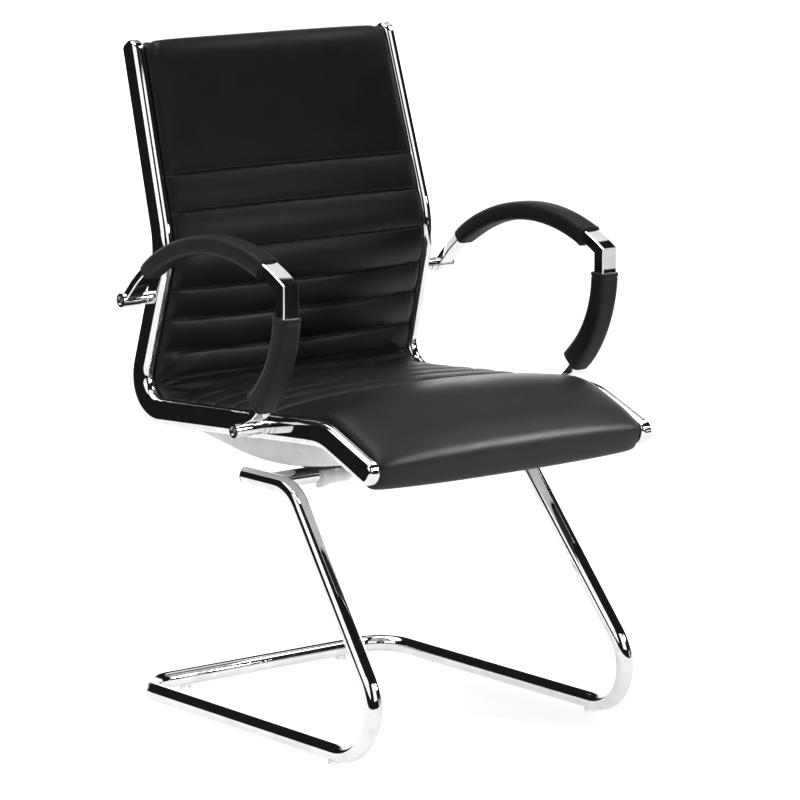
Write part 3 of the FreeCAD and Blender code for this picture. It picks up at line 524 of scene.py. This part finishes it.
# The rail line that carries the upholstery
@dataclass
class RailLine:
    """Side-view line of the rails: straight runs joined by arcs, from the top to the seat's front."""

    corners: tuple[Pair, ...] = ((0.28145, 0.93881), (0.1984, 0.662), (0.2643, 0.43219),
                                 (-0.1811, 0.46021), (-0.2574, 0.43016))
    radii: Point = (0.142, 0.049, 0.090)
    half: float = 0.242
    level: float = 0.450
    lean: float = math.tan(math.radians(1.8))
    clear: float = 0.0105
    starts: Array = field(init=False)
    places: Array = field(init=False)
    headings: Array = field(init=False)
    bends: Array = field(init=False)
    length: float = field(init=False)

    def __post_init__(self) -> None:
        """Work out where each run and arc starts, and how much it bends per metre."""
        corners = np.array(self.corners)
        steps = np.diff(corners, axis=0)
        spans = np.hypot(*steps.T)
        headings = np.unwrap(np.arctan2(steps[:, 1], steps[:, 0]))
        turns = np.diff(headings)
        cut = np.array(self.radii) * np.tan(np.abs(turns) / 2)
        runs = spans - np.append(cut, 0.0) - np.insert(cut, 0, 0.0)
        arcs = np.array(self.radii) * np.abs(turns)
        lengths = np.insert(arcs, np.arange(1, len(arcs) + 1), runs[1:])
        lengths = np.insert(lengths, 0, runs[0])
        unit = np.stack([np.cos(headings), np.sin(headings)], axis=-1)
        run_starts = corners[:-1] + unit * np.insert(cut, 0, 0.0)[:, None]
        arc_starts = run_starts[:-1] + unit[:-1] * runs[:-1, None]
        self.starts = np.insert(np.cumsum(lengths)[:-1], 0, 0.0)
        self.length = float(lengths.sum())
        self.places = np.empty((len(lengths), 2))
        self.places[0::2], self.places[1::2] = run_starts, arc_starts
        self.headings = np.repeat(headings, 2)[:-1]
        self.bends = np.zeros(len(lengths))
        self.bends[1::2] = np.sign(turns) / np.array(self.radii)

    def at(self, along: Array, offset: Array) -> tuple[Array, Array]:
        """Side-view places: a run goes straight on, an arc adds sine and cosine of the turned angle.

        Args:
            along: distances from the top end.
            offset: distances from the line towards the sitter.
        Returns:
            y and z of the places.
        """
        k = np.clip(np.searchsorted(self.starts, along, side="right") - 1, 0, len(self.starts) - 1)
        past, bend, start = along - self.starts[k], self.bends[k], self.headings[k]
        heading = start + bend * past
        safe = np.where(bend == 0.0, 1.0, bend)
        straight = np.stack([np.cos(start), np.sin(start)]) * past
        curved = np.stack([np.sin(heading) - np.sin(start), np.cos(start) - np.cos(heading)]) / safe
        y, z = np.moveaxis(self.places[k], -1, 0) + np.where(bend == 0.0, straight, curved)
        return y + offset * np.sin(heading), z - offset * np.cos(heading)

    def clear_half(self, z: Array) -> Array:
        """Half the clear width between the rails, which lean towards each other.

        Args:
            z: heights.
        Returns:
            Half widths.
        """
        return self.half - (z - self.level) * self.lean - self.clear

    def point(self, along: Array, offset: Array, share: Array) -> Array:
        """Places between the rails.

        Args:
            along: distances from the top end.
            offset: distances towards the sitter.
            share: place across, from -1 to 1, in the sense of x.
        Returns:
            Array of places with x, y, z last.
        """
        y, z = self.at(along, offset)
        return np.stack(np.broadcast_arrays(share * self.clear_half(z), y, z), axis=-1)


LINE = RailLine()


def shares(count: int, crowding: float = 1.7) -> Array:
    """Places across the width, closer together towards both sides.

    Args:
        count: number of places.
        crowding: power that draws them to the sides.
    Returns:
        Row of shares from -1 to 1.
    """
    v = np.linspace(-1.0, 1.0, count)
    return np.sign(v) * (1.0 - (1.0 - np.abs(v)) ** crowding)


def crown(share: Array, edge: Array, full: Array) -> Array:
    """Height across the width: tightly rounded sides, two fifths of it, below a wide dome.

    Args:
        share: place across from -1 to 1.
        edge: height at the sides.
        full: height in the middle.
    Returns:
        Height.
    """
    sides = np.clip(1.0 - np.abs(share) ** 26, 0.0, 1.0) ** 0.6
    dome = 1.0 - np.abs(share) ** 2.6
    return edge + (full - edge) * (0.4 * sides + 0.6 * dome)


@dataclass
class Sling:
    """The leather upholstery of head, back and seat, sewn into channels and rolled over both ends.

    Heights are distances from the rail line towards the sitter, and lengths run along it.
    """

    edge: float = 0.0146
    front_edge: float = 0.0176
    back: float = 0.0338
    seat: float = 0.0368
    front: float = 0.0428
    floor: float = 0.0023
    roll: float = 0.030
    lap: float = 0.0117
    apex: float = 0.002
    top_roll: float = 0.0165
    top_edge: float = 0.0118
    top_power: float = 3.4
    tip: float = 0.041
    tip_edge: float = 0.031
    tip_height: float = 0.2
    tip_power: float = 2.5
    under: float = 0.031
    under_edge: float = 0.027
    under_power: float = 4.2
    rear: float = -0.0156
    seam_depth: float = 0.0052
    arch_power: float = 0.62
    run_out: Pair = (0.010, 0.012)
    crease: float = 0.0014
    crease_width: float = 0.0013
    seams: tuple[float, ...] = (0.1805, 0.2345, 0.2860, 0.3355, 0.3830, 0.4345, 0.4860,
                                *(0.5557 + 0.048 * k for k in range(6)))
    columns: int = 181
    step: float = 0.0024
    turns: int = 16
    coarse_columns: int = 91
    coarse_turns: int = 9
    cell: float = 0.006
    pressure: float = 4.0
    slack: float = 0.02
    cap: float = 0.005
    fan: float = 0.505
    pucker: float = 0.0007
    wave: float = 0.0006
    loose: float = 0.0004
    folds: Pair = (0.0022, 0.0012)
    pinches: Pair = (0.0030, 0.0012)
    stitch_pitch: float = 0.0058
    stitch_length: float = 0.0044
    stitch_beside: float = 0.0026
    thread: float = 0.00055
    bead: tuple[int, int] = (7, 6)
    outer: Array = field(init=False)
    marks: Array = field(init=False)
    across: Array = field(init=False)

    def beside_seam(self, along: Array) -> Array:
        """Distance to the nearest seam.

        Args:
            along: distances along the rail line.
        Returns:
            Distances of the same shape.
        """
        return np.min(np.abs(along[..., None] - np.array(self.seams)), axis=-1)

    def crest(self, along: Array, share: Array) -> Array:
        """Height of the stuffed leather before it is sewn down.

        Args:
            along: distances along the rail line.
            share: places across.
        Returns:
            Height from the line.
        """
        marks = (0.0, 0.45, 0.56, 0.80, 0.90, LINE.length)
        full = np.interp(along, marks, (self.back,) * 2 + (self.seat,) * 2 + (self.front,) * 2)
        edge = np.interp(along, marks, (self.edge,) * 4 + (self.front_edge,) * 2)
        return crown(share, edge, full)

    def groove(self, along: Array, share: Array) -> Array:
        """How far the seams pull the leather down.

        Between two seams a channel is a flattened sine arch, and beyond the outer seams the pull fades out.
        The channels of the lower back are half as deep again, and all grow shallow at the sides.

        Args:
            along: distances along the rail line.
            share: places across.
        Returns:
            Depth below the crest.
        """
        stops = np.array(self.seams)
        k = np.clip(np.searchsorted(stops, along) - 1, 0, len(stops) - 2)
        step = np.clip((along - stops[k]) / (stops[k + 1] - stops[k]), 0.0, 1.0)
        arch = 1.0 - np.sin(np.pi * step) ** self.arch_power
        before = np.exp(-np.clip(stops[0] - along, 0.0, None) / self.run_out[0])
        after = np.exp(-np.clip(along - stops[-1], 0.0, None) / self.run_out[1])
        inside = (along >= stops[0]) & (along <= stops[-1])
        pull = np.where(inside, arch, np.where(along < stops[0], before, after))
        fade = 1.0 - 0.6 * np.clip((np.abs(share) - 0.86) / 0.14, 0.0, 1.0) ** 1.5
        deep = np.interp(along, (0.26, 0.38, 0.49, 0.60), (1.0, 1.5, 1.5, 1.15)) * self.seam_depth
        line = self.crease * np.exp(-(self.beside_seam(along) / self.crease_width) ** 2)
        return (deep * pull + line) * fade

    def rows(self, step: float, fine: bool) -> Array:
        """Distances of the grid rows along the main run, with one row on each seam.

        Args:
            step: usual distance between rows.
            fine: whether more rows lie close to each seam.
        Returns:
            Rising distances.
        """
        last = LINE.length - self.roll
        even = np.linspace(self.roll, last, int((last - self.roll) / step))
        clear = self.beside_seam(even) > (0.0035 if fine else step * 0.5)
        steps = np.array([-0.003, -0.0018, -0.0008, 0.0, 0.0008, 0.0018, 0.003]) if fine else np.zeros(1)
        near = (np.array(self.seams)[:, None] + steps).ravel()
        return np.unique(np.concatenate([even[clear], near, [self.roll, last]]))

    def rolls(self, t: Array, quarter: Array) -> tuple[tuple[list[Array], ...], ...]:
        """Rows of both rolls.

        The top roll is a quarter ellipse up behind the shell and a boxy quarter to the front.
        The front roll is a full quarter down to the tip, a boxy one below it and a flat run back.

        Args:
            t: places across.
            quarter: angles from 0 to a right angle.
        Returns:
            For each roll its distances along the line, heights and row parameters.
        """
        lap, roll, apex, inner = self.lap, self.roll, self.apex, quarter[1:-1]
        rise = self.top_edge + (self.top_roll - self.top_edge) * (1.0 - np.abs(t) ** 10) ** 0.6
        crest = self.crest(np.full_like(t, roll), t)
        tight = 2.0 / self.top_power
        runs = [lap - (rise + lap) * np.sin(quarter), roll - (rise + roll) * np.cos(inner) ** tight]
        lifts = [apex + (self.rear - apex) * np.cos(quarter) + 0 * t,
                 apex + (crest - apex) * np.sin(inner) ** tight]
        first = -0.06 + 0.04 * quarter
        top = runs, lifts, [first, first[-1:] + 0.02 * inner]
        last, inner = LINE.length - roll, quarter[1:]
        tip = crown(t, self.tip_edge, self.tip)
        under = -crown(t, self.under_edge, self.under)
        crest = self.crest(np.full_like(t, last), t)
        turn = crest * self.tip_height
        full, box = 2.0 / self.tip_power, 2.0 / self.under_power
        home = np.linspace(0.0, 1.0, 8)[1:, None]
        runs = [last + (roll + tip) * np.sin(inner) ** full,
                LINE.length + tip * 0.25 + tip * 0.75 * np.cos(inner) ** box,
                (LINE.length + tip * 0.25) * (1 - home) + last * home]
        lifts = [turn + (crest - turn) * np.clip(np.cos(inner), 0.0, 1.0) ** full,
                 turn + (under - turn) * np.sin(inner) ** box,
                 under * (1.0 - 0.2 * home)]
        first = last + 0.05 * inner
        second = first[-1:] + 0.05 * inner
        return top, (runs, lifts, [first, second, second[-1:] + 0.04 * home])

    def layout(self, main: Array, columns: int, turns: int) -> tuple[Array, ...]:
        """Outer leather and inner floor as grids.

        Args:
            main: distances of the rows between both rolls.
            columns: number of columns.
            turns: rows in each quarter of a roll.
        Returns:
            Outer grid, inner grid, the rows' own parameter and the columns' shares.
        """
        t = shares(columns)[None, :]
        last, body = LINE.length - self.roll, main[:, None]
        quarter = np.linspace(0.0, np.pi / 2, turns)[:, None]
        middle = ([body + 0 * t], [self.crest(body, t) - self.groove(body, t)], [body])
        top_roll, front_roll = self.rolls(t, quarter)
        parts = zip(top_roll, middle, front_roll)
        along, offset, marks = (np.concatenate(top + run + front) for top, run, front in parts)
        outer = LINE.point(along, offset, t)
        rolled = (along < self.roll - 0.0001) | (along > last + 0.0001)
        inner_along = np.clip(along, self.lap, last)
        inner_offset = np.where(rolled, np.clip(offset, None, self.floor) * 0.94, self.floor)
        inner = LINE.point(inner_along, inner_offset, t * 0.998)
        return outer, inner, marks[:, 0], t[0]

    def swell(self) -> tuple[Array, Array, Array]:
        """Blow up a coarse copy of the sling with cloth simulation, its seams and borders held.

        Returns:
            How far each coarse place of the outer leather moved, with the rows' and columns' parameters.
        """
        main = self.rows(self.cell, False)
        outer, inner, marks, t = self.layout(main, self.coarse_columns, self.coarse_turns)
        rest, quads = closed_sheet(outer, inner)
        held = np.zeros(outer.shape[:2], dtype=bool)
        held[self.beside_seam(marks) < 1e-6], held[[0, -1]], held[:, [0, -1]] = True, True, True
        pins = np.concatenate([held.ravel(), np.ones(held.size, dtype=bool)])
        moved = blown(rest, quads, pins, self.pressure, self.slack)
        shift = (moved - rest)[:held.size].reshape(outer.shape)
        length = np.linalg.norm(shift, axis=-1, keepdims=True)
        shift *= np.minimum(1.0, self.cap / np.maximum(length, 1e-9))
        log.info("sling simulation: moved up to %.1f mm, kept up to %.1f mm",
                 length.max() / MM, self.cap / MM)
        return shift, marks, t

    def wrinkles(self, marks: Array, t: Array) -> Array:
        """Small folds: puckers across the seams, broad waves, corner creases and pinched corners at the top.

        The creases fan out from both corners of seat and back: sine waves of the angle round the corner.

        Args:
            marks: the rows' parameter.
            t: the columns' shares.
        Returns:
            Height to add to the leather.
        """
        along, share = marks[:, None], t[None, :]
        near, inward, count = self.beside_seam(along), 1.0 - np.abs(share), (len(marks), len(t))
        pucker = self.pucker * smooth_noise(count, (60, 70), 5) * np.exp(-near / 0.007) * (near > 1e-6)
        loose = self.loose * np.clip((along - 0.84) / 0.06, 0.0, 1.0)
        broad = self.wave * smooth_noise(count, (26, 9), 11) + loose * smooth_noise(count, (34, 16), 31)
        reach = np.hypot((along - self.fan) / 0.17, inward / 0.8)
        angle = np.arctan2(along - self.fan, inward * 0.23)
        ray = np.sin(angle * 7.0 + 1.6 * smooth_noise(count, (9, 8), 23) + np.where(share > 0, 1.3, 0.0))
        fold = np.where(share < 0, *self.folds) * ray * np.exp(-reach ** 2 * 1.8)
        fold = fold * np.clip(reach / 0.3, 0.0, 1.0)
        ends = np.clip(along / 0.06, 0.0, 1.0) * np.clip((LINE.length + 0.06 - along) / 0.06, 0.0, 1.0)
        sides = np.clip(inward / 0.05, 0.0, 1.0)
        pinch = np.exp(-((np.abs(share) - 0.93) / 0.018) ** 2) * np.exp(-((along - 0.002) / 0.028) ** 2)
        return (pucker + broad + fold) * ends * sides - np.where(share < 0, *self.pinches) * pinch

    def build(self) -> None:
        """Make the sling: formula, simulated swelling, then fine folds."""
        outer, inner, marks, t = self.layout(self.rows(self.step, True), self.columns, self.turns)
        shift, coarse_marks, coarse_t = self.swell()
        outer = outer + resample(shift, coarse_marks, coarse_t, marks[:, None], t[None, :])
        outer = outer + grid_normals(outer) * self.wrinkles(marks, t)[..., None]
        self.outer, self.marks, self.across = outer, marks, t
        piece = put("leather_sling", *closed_sheet(outer, inner))
        dress(piece, Slot.BLACK_LEATHER, ("head_pad", "back_pad", "seat_rear_pad", "seat_front_pad"))

    def stitches(self) -> None:
        """Sew a row of thread stitches beside every seam.

        Each stitch is a small bead of a few rings, drawn out along the seam and half sunk in the leather.
        """
        rings, sides = self.bead
        t = np.arange(-0.985, 0.985, self.stitch_pitch / 0.232)[None, :]
        rows = np.array(self.seams)[:, None] - self.stitch_beside
        grid, marks, across = self.outer, self.marks, self.across
        centre = resample(grid, marks, across, rows, t).reshape(-1, 3)
        up = resample(grid_normals(grid), marks, across, rows, t).reshape(-1, 3)
        up /= np.linalg.norm(up, axis=1, keepdims=True)
        ahead = resample(grid, marks, across, rows, t + 0.01).reshape(-1, 3) - centre
        ahead /= np.linalg.norm(ahead, axis=1, keepdims=True)
        beside = np.cross(up, ahead)
        turn = np.linspace(0.0, 2 * np.pi, sides, endpoint=False)[None, :]
        run = np.linspace(-1.0, 1.0, rings)[:, None]
        girth = self.thread * np.sqrt(np.clip(1.0 - run ** 2 * 0.98, 0.0, 1.0))
        long = np.broadcast_to(run * self.stitch_length / 2, (rings, sides)).ravel()
        wide = (girth * np.cos(turn)).ravel()
        sunk = 0.0004 * (long / self.stitch_length * 2) ** 4
        high = (girth * np.sin(turn)).ravel() + self.thread * 0.25 - sunk
        points = (centre[:, None, :] + ahead[:, None, :] * long[None, :, None]
                  + beside[:, None, :] * wide[None, :, None] + up[:, None, :] * high[None, :, None])
        first = rings * sides * np.arange(len(centre))[:, None]
        quads = (grid_faces(rings, sides, ring=True)[None, :, :] + first[..., None]).reshape(-1, 4)
        caps = np.arange(sides)[None, ::-1] + first
        ends = np.arange((rings - 1) * sides, rings * sides)[None, :] + first
        piece = put("seam_stitches", points.reshape(-1, 3), quads, np.concatenate([caps, ends]))
        dress(piece, Slot.BLACK_LEATHER, material=Thread("black sewing thread").material())


@dataclass
class BackCover:
    """The rear panel of the back, a thin padded skin that goes on round the bend to the seat."""

    first: float = 0.0122
    last: float = 0.5530
    front: float = -0.0157
    edge: float = 0.0180
    swell: float = 0.0046
    rows: int = 240
    columns: int = 121

    def build(self) -> None:
        """Make the panel: flat-topped swelling with rounded sides and ends."""
        along = np.linspace(self.first, self.last, self.rows)[:, None]
        t = shares(self.columns)[None, :]
        down = (along - self.first) / (self.last - self.first) * 2 - 1
        dome = (1 - np.abs(t) ** 14) ** 0.6 * (1 - np.abs(down) ** 40) ** 0.5
        outer = LINE.point(along, -self.edge - self.swell * dome, t)
        inner = LINE.point(along, self.front + 0 * t, t)
        points, quads = closed_sheet(outer, inner)
        piece = put("rear_panel", points, quads[:, ::-1])
        dress(piece, Slot.BLACK_LEATHER, ("back_cover",))


@dataclass
class Lining:
    """The pale cloth pan under the seat."""

    middle: float = 0.0034
    pan: tuple[Pair, ...] = ((0.110, 0.402), (0.060, 0.389), (-0.020, 0.3864),
                             (-0.080, 0.3895), (-0.150, 0.404))
    thickness: float = 0.002
    rear_y: float = 0.196
    front_inset: Pair = (0.032, -0.019)
    rim_height: float = 0.4486
    rim_slope: float = math.tan(math.radians(3.6))
    rim_drop: float = 0.016
    rows: int = 220
    columns: int = 121
    flat: Pair = (0.50, 0.46)

    def rim(self, y: Array) -> Array:
        """Height of the rim, a little below the shell.

        Args:
            y: places along the seat.
        Returns:
            Heights.
        """
        return self.rim_height - y * self.rim_slope - self.rim_drop

    def build(self) -> None:
        """Make the cloth: a smooth curve through the pan's depths, its sides pulled up to the rim."""
        inset, drop = self.front_inset
        front_y, front_z = LINE.at(np.array(LINE.length - inset), np.array(drop))
        ys = np.array([self.rear_y, *[p[0] for p in self.pan], float(front_y) - self.middle])
        zs = np.array([float(self.rim(np.array(self.rear_y))), *[p[1] for p in self.pan], float(front_z)])
        order = np.argsort(ys)
        y = np.linspace(ys.min(), ys.max(), self.rows)
        curve = np.polynomial.Polynomial.fit(ys[order], zs[order], 5)(y)
        t = shares(self.columns)[None, :]
        pan_front = self.pan[-1][0]
        flank = np.interp(y, [ys.min(), pan_front], [zs[order][0], self.rim(pan_front)])
        rim = np.where(y < pan_front, np.maximum(curve, flank), self.rim(y))
        z = rim[:, None] - (rim - curve)[:, None] * (1 - np.abs(t) ** 14)
        lower = np.stack(np.broadcast_arrays(t * LINE.clear_half(z), y[:, None] + self.middle, z), axis=-1)
        upper = lower + np.array([0.0, 0.0, self.thickness])
        piece = put("underside_cloth", *closed_sheet(upper, lower))
        dress(piece, Slot.PALE_GREY_LINING, ("underside_lining",))


@dataclass
class Sleeve:
    """A leather sleeve round part of an arm bar: a rounded ring carried along an arc.

    Angles are degrees from straight up, towards the back. The thickness of the bar goes by them.
    The hem has a depth, a distance from the end and a width; lip, taper and rim have a height and a length.
    """

    name: str
    node: str
    side: int
    centre: Pair
    angles: Pair
    outer: float
    thickness: tuple[tuple[float, ...], tuple[float, ...]]
    below: Pair = (0.0, 0.0)
    rim_first: bool = False
    arm: float = 0.2835
    half: float = 0.013
    wall: float = 0.0040
    gap: float = 0.0003
    hem: Point = (0.0011, 0.0065, 0.0011)
    lip: Pair = (0.0011, 0.0016)
    taper: Pair = (0.0016, 0.012)
    rim: Pair = (0.0006, 0.006)
    below_power: float = 2.2
    close: Pair = (0.0105, 0.0006)
    rows: int = 96
    columns: int = 72
    corner_power: float = 0.5

    def skin(self, degrees: Array, wall: Array, below: Array) -> Array:
        """One skin of the sleeve.

        Each section is a rounded square: sine and cosine of the angle round it, raised to a power below one.

        Args:
            degrees: angle of each section.
            wall: its distance from the bar.
            below: what is added on its inner side.
        Returns:
            Sections by places round them by 3.
        """
        span = np.radians(degrees)[:, None]
        ring = np.linspace(0.0, 2 * np.pi, self.columns, endpoint=False)[None, :]
        c = np.sign(np.cos(ring)) * np.abs(np.cos(ring)) ** self.corner_power
        s = np.sign(np.sin(ring)) * np.abs(np.sin(ring)) ** self.corner_power
        high = (np.interp(degrees, *self.thickness) + 2 * wall + below) / 2
        middle = self.outer + wall - high
        radius = middle[:, None] + high[:, None] * s
        x = self.arm + (self.half + wall)[:, None] * c
        y = self.centre[0] + radius * np.sin(span)
        z = self.centre[1] + radius * np.cos(span)
        return np.stack(np.broadcast_arrays(self.side * x, y, z), axis=-1)

    def build(self) -> None:
        """Make the sleeve: a sewn hem near both ends, a rim at the elbow and a taper at the other end."""
        length = math.radians(abs(self.angles[1] - self.angles[0])) * self.outer
        close = np.arange(0.0, *self.close)
        run = np.unique(np.concatenate([np.linspace(0.0, length, self.rows), close, length - close]))
        degrees = self.angles[0] + (self.angles[1] - self.angles[0]) * run / length
        ends = np.minimum(run, length - run)
        rim = run if self.rim_first else length - run
        hem = -self.hem[0] * np.exp(-((ends - self.hem[1]) / self.hem[2]) ** 2)
        lip = np.clip(1.0 - ends / self.lip[1], 0.0, 1.0) ** 2 * self.lip[0]
        taper = self.taper[0] * np.exp(-(length - rim) / self.taper[1])
        grow = self.wall + hem - lip - taper + self.rim[0] * np.exp(-(rim / self.rim[1]) ** 2)
        below = (run / length) ** self.below_power * (self.below[1] - self.below[0]) + self.below[0]
        outside = self.skin(degrees, grow, below)
        inside = self.skin(degrees, np.full_like(grow, self.gap), np.zeros_like(grow))[::-1]
        loop = np.concatenate([outside, inside, outside[:1]])
        points = loop[:-1].reshape(-1, 3)
        quads = grid_faces(*loop.shape[:2], ring=True, flip=self.side < 0) % len(points)
        piece = put(self.name, points, quads)
        dress(piece, Slot.SLEEVE_LEATHER, (self.node,))


def arm_sleeves() -> list[Sleeve]:
    """The four sleeves. Left and right ones end at slightly different angles, as hand-fitted ones do.

    Returns:
        Sleeves of both arms.
    """
    arch_bar = ((-30.0, 0.0, 43.0), (0.018, 0.015, 0.012))
    post_bar = ((-138.5, -90.0), (0.012, 0.020))
    made = []
    for side, word, front, top in ((-1, "left", -21.5, -94.2), (1, "right", -23.5, -91.6)):
        made.append(Sleeve(f"{word}_arch_sleeve", f"{word}_arm_sleeve", side, (-0.0061, 0.419),
                           (37.2, front), 0.292, arch_bar, (0.0045, 0.0045)))
        made.append(Sleeve(f"{word}_upright_sleeve", f"{word}_post_sleeve", side, (0.0539, 0.635),
                           (top, -134.8), 0.217, post_bar, (0.002, 0.018), True))
    return made


NODE_SLOTS = {
    Slot.CHROME_PLATE: ("base_tube", "base_crossbar", "{}_side_rail", "{}_rail_nose", "{}_top_cap",
                        "{}_front_cap", "{}_arm_frame", "{}_arm_spacers"),
    Slot.ZINC_PLATED_STEEL: ("mount_bolts", "mount_washers", "mount_spacers", "tee_nuts", "shell_screws",
                             "{}_arm_bolts", "{}_rail_bushes"),
    Slot.CLEAR_GLIDE_PLASTIC: ("glide_front_{}", "glide_rear_{}"),
    Slot.BLACK_PLUG_PLASTIC: ("{}_stub_cap",),
    Slot.IVORY_CLIP_PLASTIC: ("{}_crossbar_clip",),
    Slot.BLACK_PAINTED_STEEL: ("seat_mount_plate",),
    Slot.BEECH_PLYWOOD: ("moulded_shell",),
}


def paint_solids() -> None:
    """Give every solid that stays in view its finish. Braces in a name stand for left and right."""
    for slot, names in NODE_SLOTS.items():
        for name in dict.fromkeys(name.format(side) for name in names for side in ("left", "right")):
            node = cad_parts[name]
            node.data.materials.clear()
            node.data.materials.append(slot.value.material())
            log.info("%s: solid, %s", name, slot.name.lower())


@dataclass(frozen=True)
class Lamp:
    """One soft light: a lit rectangle turned to a place, its power in watts and its beam in degrees."""

    name: str
    place: Point
    size: Pair
    power: float
    aim: Point = (0.0, 0.0, 0.7)
    beam: float = 180.0

    def build(self) -> None:
        """Make the light."""
        light = bpy.data.lights.new(self.name, "AREA")
        light.shape = "RECTANGLE"
        light.size, light.size_y = self.size
        light.energy = self.power
        light.spread = math.radians(self.beam)
        lamp = bpy.data.objects.new(self.name, light)
        lamp.location = self.place
        lamp.rotation_euler = (Vector(self.aim) - Vector(self.place)).to_track_quat("-Z", "Y").to_euler()
        bpy.context.scene.collection.objects.link(lamp)


LAMPS = (
    Lamp("softbox_left", (-2.97, -0.40, 1.55), (2.9, 1.7), 24.0),
    Lamp("softbox_right", (-0.12, -3.0, 1.55), (2.2, 1.7), 17.0),
    Lamp("low_board", (2.8, -2.9, 0.3), (1.1, 0.6), 1.7),
    Lamp("softbox_top", (1.75, -0.70, 2.75), (1.2, 0.8), 18.0),
    Lamp("board_top", (1.68, 0.95, 2.65), (1.0, 0.8), 2.5),
    Lamp("grid_front", (1.22, -1.70, 1.16), (0.5, 0.35), 2.0, (0.0, -0.29, 0.40), 24.0),
)


@dataclass
class Studio:
    """Pale glowing floor, light from above, a bright backdrop in a dark room, six soft lights, a camera."""

    half_width: float = 1.9
    before: float = 4.6
    behind: float = 15.0
    glow: float = 0.74
    overhead: Point = (-0.25, 0.15, 0.95)
    overhead_edge: Pair = (0.83, 0.92)
    overhead_bright: float = 5.0
    backdrop_edge: Pair = (0.50, 0.78)
    backdrop_top: Pair = (-0.46, -0.12)
    backdrop_bright: float = 3.4
    faint: float = 0.012
    eye: Point = (-3.631, -4.611, 1.515)
    turn: Point = (79.755, 0.0, -38.462)
    lens: float = 189.0
    sensor: float = 36.0
    sight: float = 100.0

    def build(self) -> None:
        """Make floor, world, lights and camera."""
        self.ground()
        self.world()
        for lamp in LAMPS:
            lamp.build()
        self.camera()

    def away(self) -> Array:
        """Level direction in which the camera looks.

        Returns:
            Unit vector.
        """
        heading = math.radians(-self.turn[2])
        return np.array([math.sin(heading), math.cos(heading), 0.0])

    def ground(self) -> None:
        """Make the floor, a matt pale strip that runs away from the camera."""
        away = self.away()
        aside = np.array([away[1], -away[0], 0.0]) * self.half_width
        near, far = -away * self.before, away * self.behind
        points = np.array([near - aside, near + aside, far + aside, far - aside])
        floor = put("floor", points, np.array([[0, 1, 2, 3]]))
        fixed = (("IOR", 1.49), ("Emission Color", WHITE), ("Emission Strength", self.glow))
        paper = Plastic("pale floor", "#8e8e8e", "#929292", (0.55, 0.6), fixed)
        floor.data.materials.append(paper.material())

    def facing(self, sky: Socket, axis: Sequence[float], edge: Pair, bright: float) -> Socket:
        """Brightness that rises with the cosine between the sky's direction and an axis.

        Args:
            sky: direction of the sky.
            axis: direction of the light.
            edge: cosines at which it starts and is full.
            bright: full brightness.
        Returns:
            The brightness.
        """
        cosine = add(sky.id_data, "VectorMath", {"operation": "DOT_PRODUCT"}, {0: sky})
        cosine.inputs[1].default_value = Vector(axis).normalized()
        settings = {"interpolation_type": "SMOOTHSTEP", "To Max": bright,
                    "From Min": edge[0], "From Max": edge[1]}
        return add(sky.id_data, "MapRange", settings, {"Value": cosine.outputs["Value"]}).outputs["Result"]

    def world(self) -> None:
        """Make the light dome: white to the camera; for all else light above, backdrop and near darkness."""
        world = bpy.data.worlds.new("studio")
        bpy.context.scene.world = world
        world.use_nodes = True
        tree = world.node_tree
        tree.nodes.clear()
        sky = add(tree, "TexCoord").outputs["Generated"]
        above = self.facing(sky, self.overhead, self.overhead_edge, self.overhead_bright)
        behind = self.facing(sky, self.away(), self.backdrop_edge, self.backdrop_bright)
        below = self.facing(sky, (0.0, 0.0, -1.0), self.backdrop_top, 1.0)
        wall = add(tree, "Math", {"operation": "MULTIPLY"}, {0: behind, 1: below}).outputs[0]
        both = add(tree, "Math", {"operation": "ADD"}, {0: above, 1: wall}).outputs[0]
        dim = add(tree, "Math", {"operation": "ADD"}, {0: both})
        dim.inputs[1].default_value = self.faint
        seen = add(tree, "LightPath").outputs["Is Camera Ray"]
        level = add(tree, "MapRange", {"To Max": 1.0}, {"Value": seen, "To Min": dim.outputs[0]})
        shade = add(tree, "Background", {"Color": WHITE}, {"Strength": level.outputs["Result"]})
        add(tree, "OutputWorld", links={"Surface": shade.outputs["Background"]})

    def camera(self) -> None:
        """Make the camera at the photo's angle."""
        data = bpy.data.cameras.new("camera")
        data.lens, data.sensor_width, data.sensor_fit = self.lens, self.sensor, "HORIZONTAL"
        data.clip_end = self.sight
        eye = bpy.data.objects.new("camera", data)
        eye.location = self.eye
        eye.rotation_euler = [math.radians(a) for a in self.turn]
        bpy.context.scene.collection.objects.link(eye)
        bpy.context.scene.camera = eye


def write_size() -> None:
    """Bring the view layer up to date."""
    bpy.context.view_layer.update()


def main() -> None:
    """Build the chair piece by piece, then the studio."""
    paint_solids()
    sling = Sling()
    sling.build()
    sling.stitches()
    BackCover().build()
    Lining().build()
    for sleeve in arm_sleeves():
        sleeve.build()
    Studio().build()
    bpy.context.scene.view_settings.view_transform = "Standard"
    write_size()


if __name__ == "__main__":
    main()
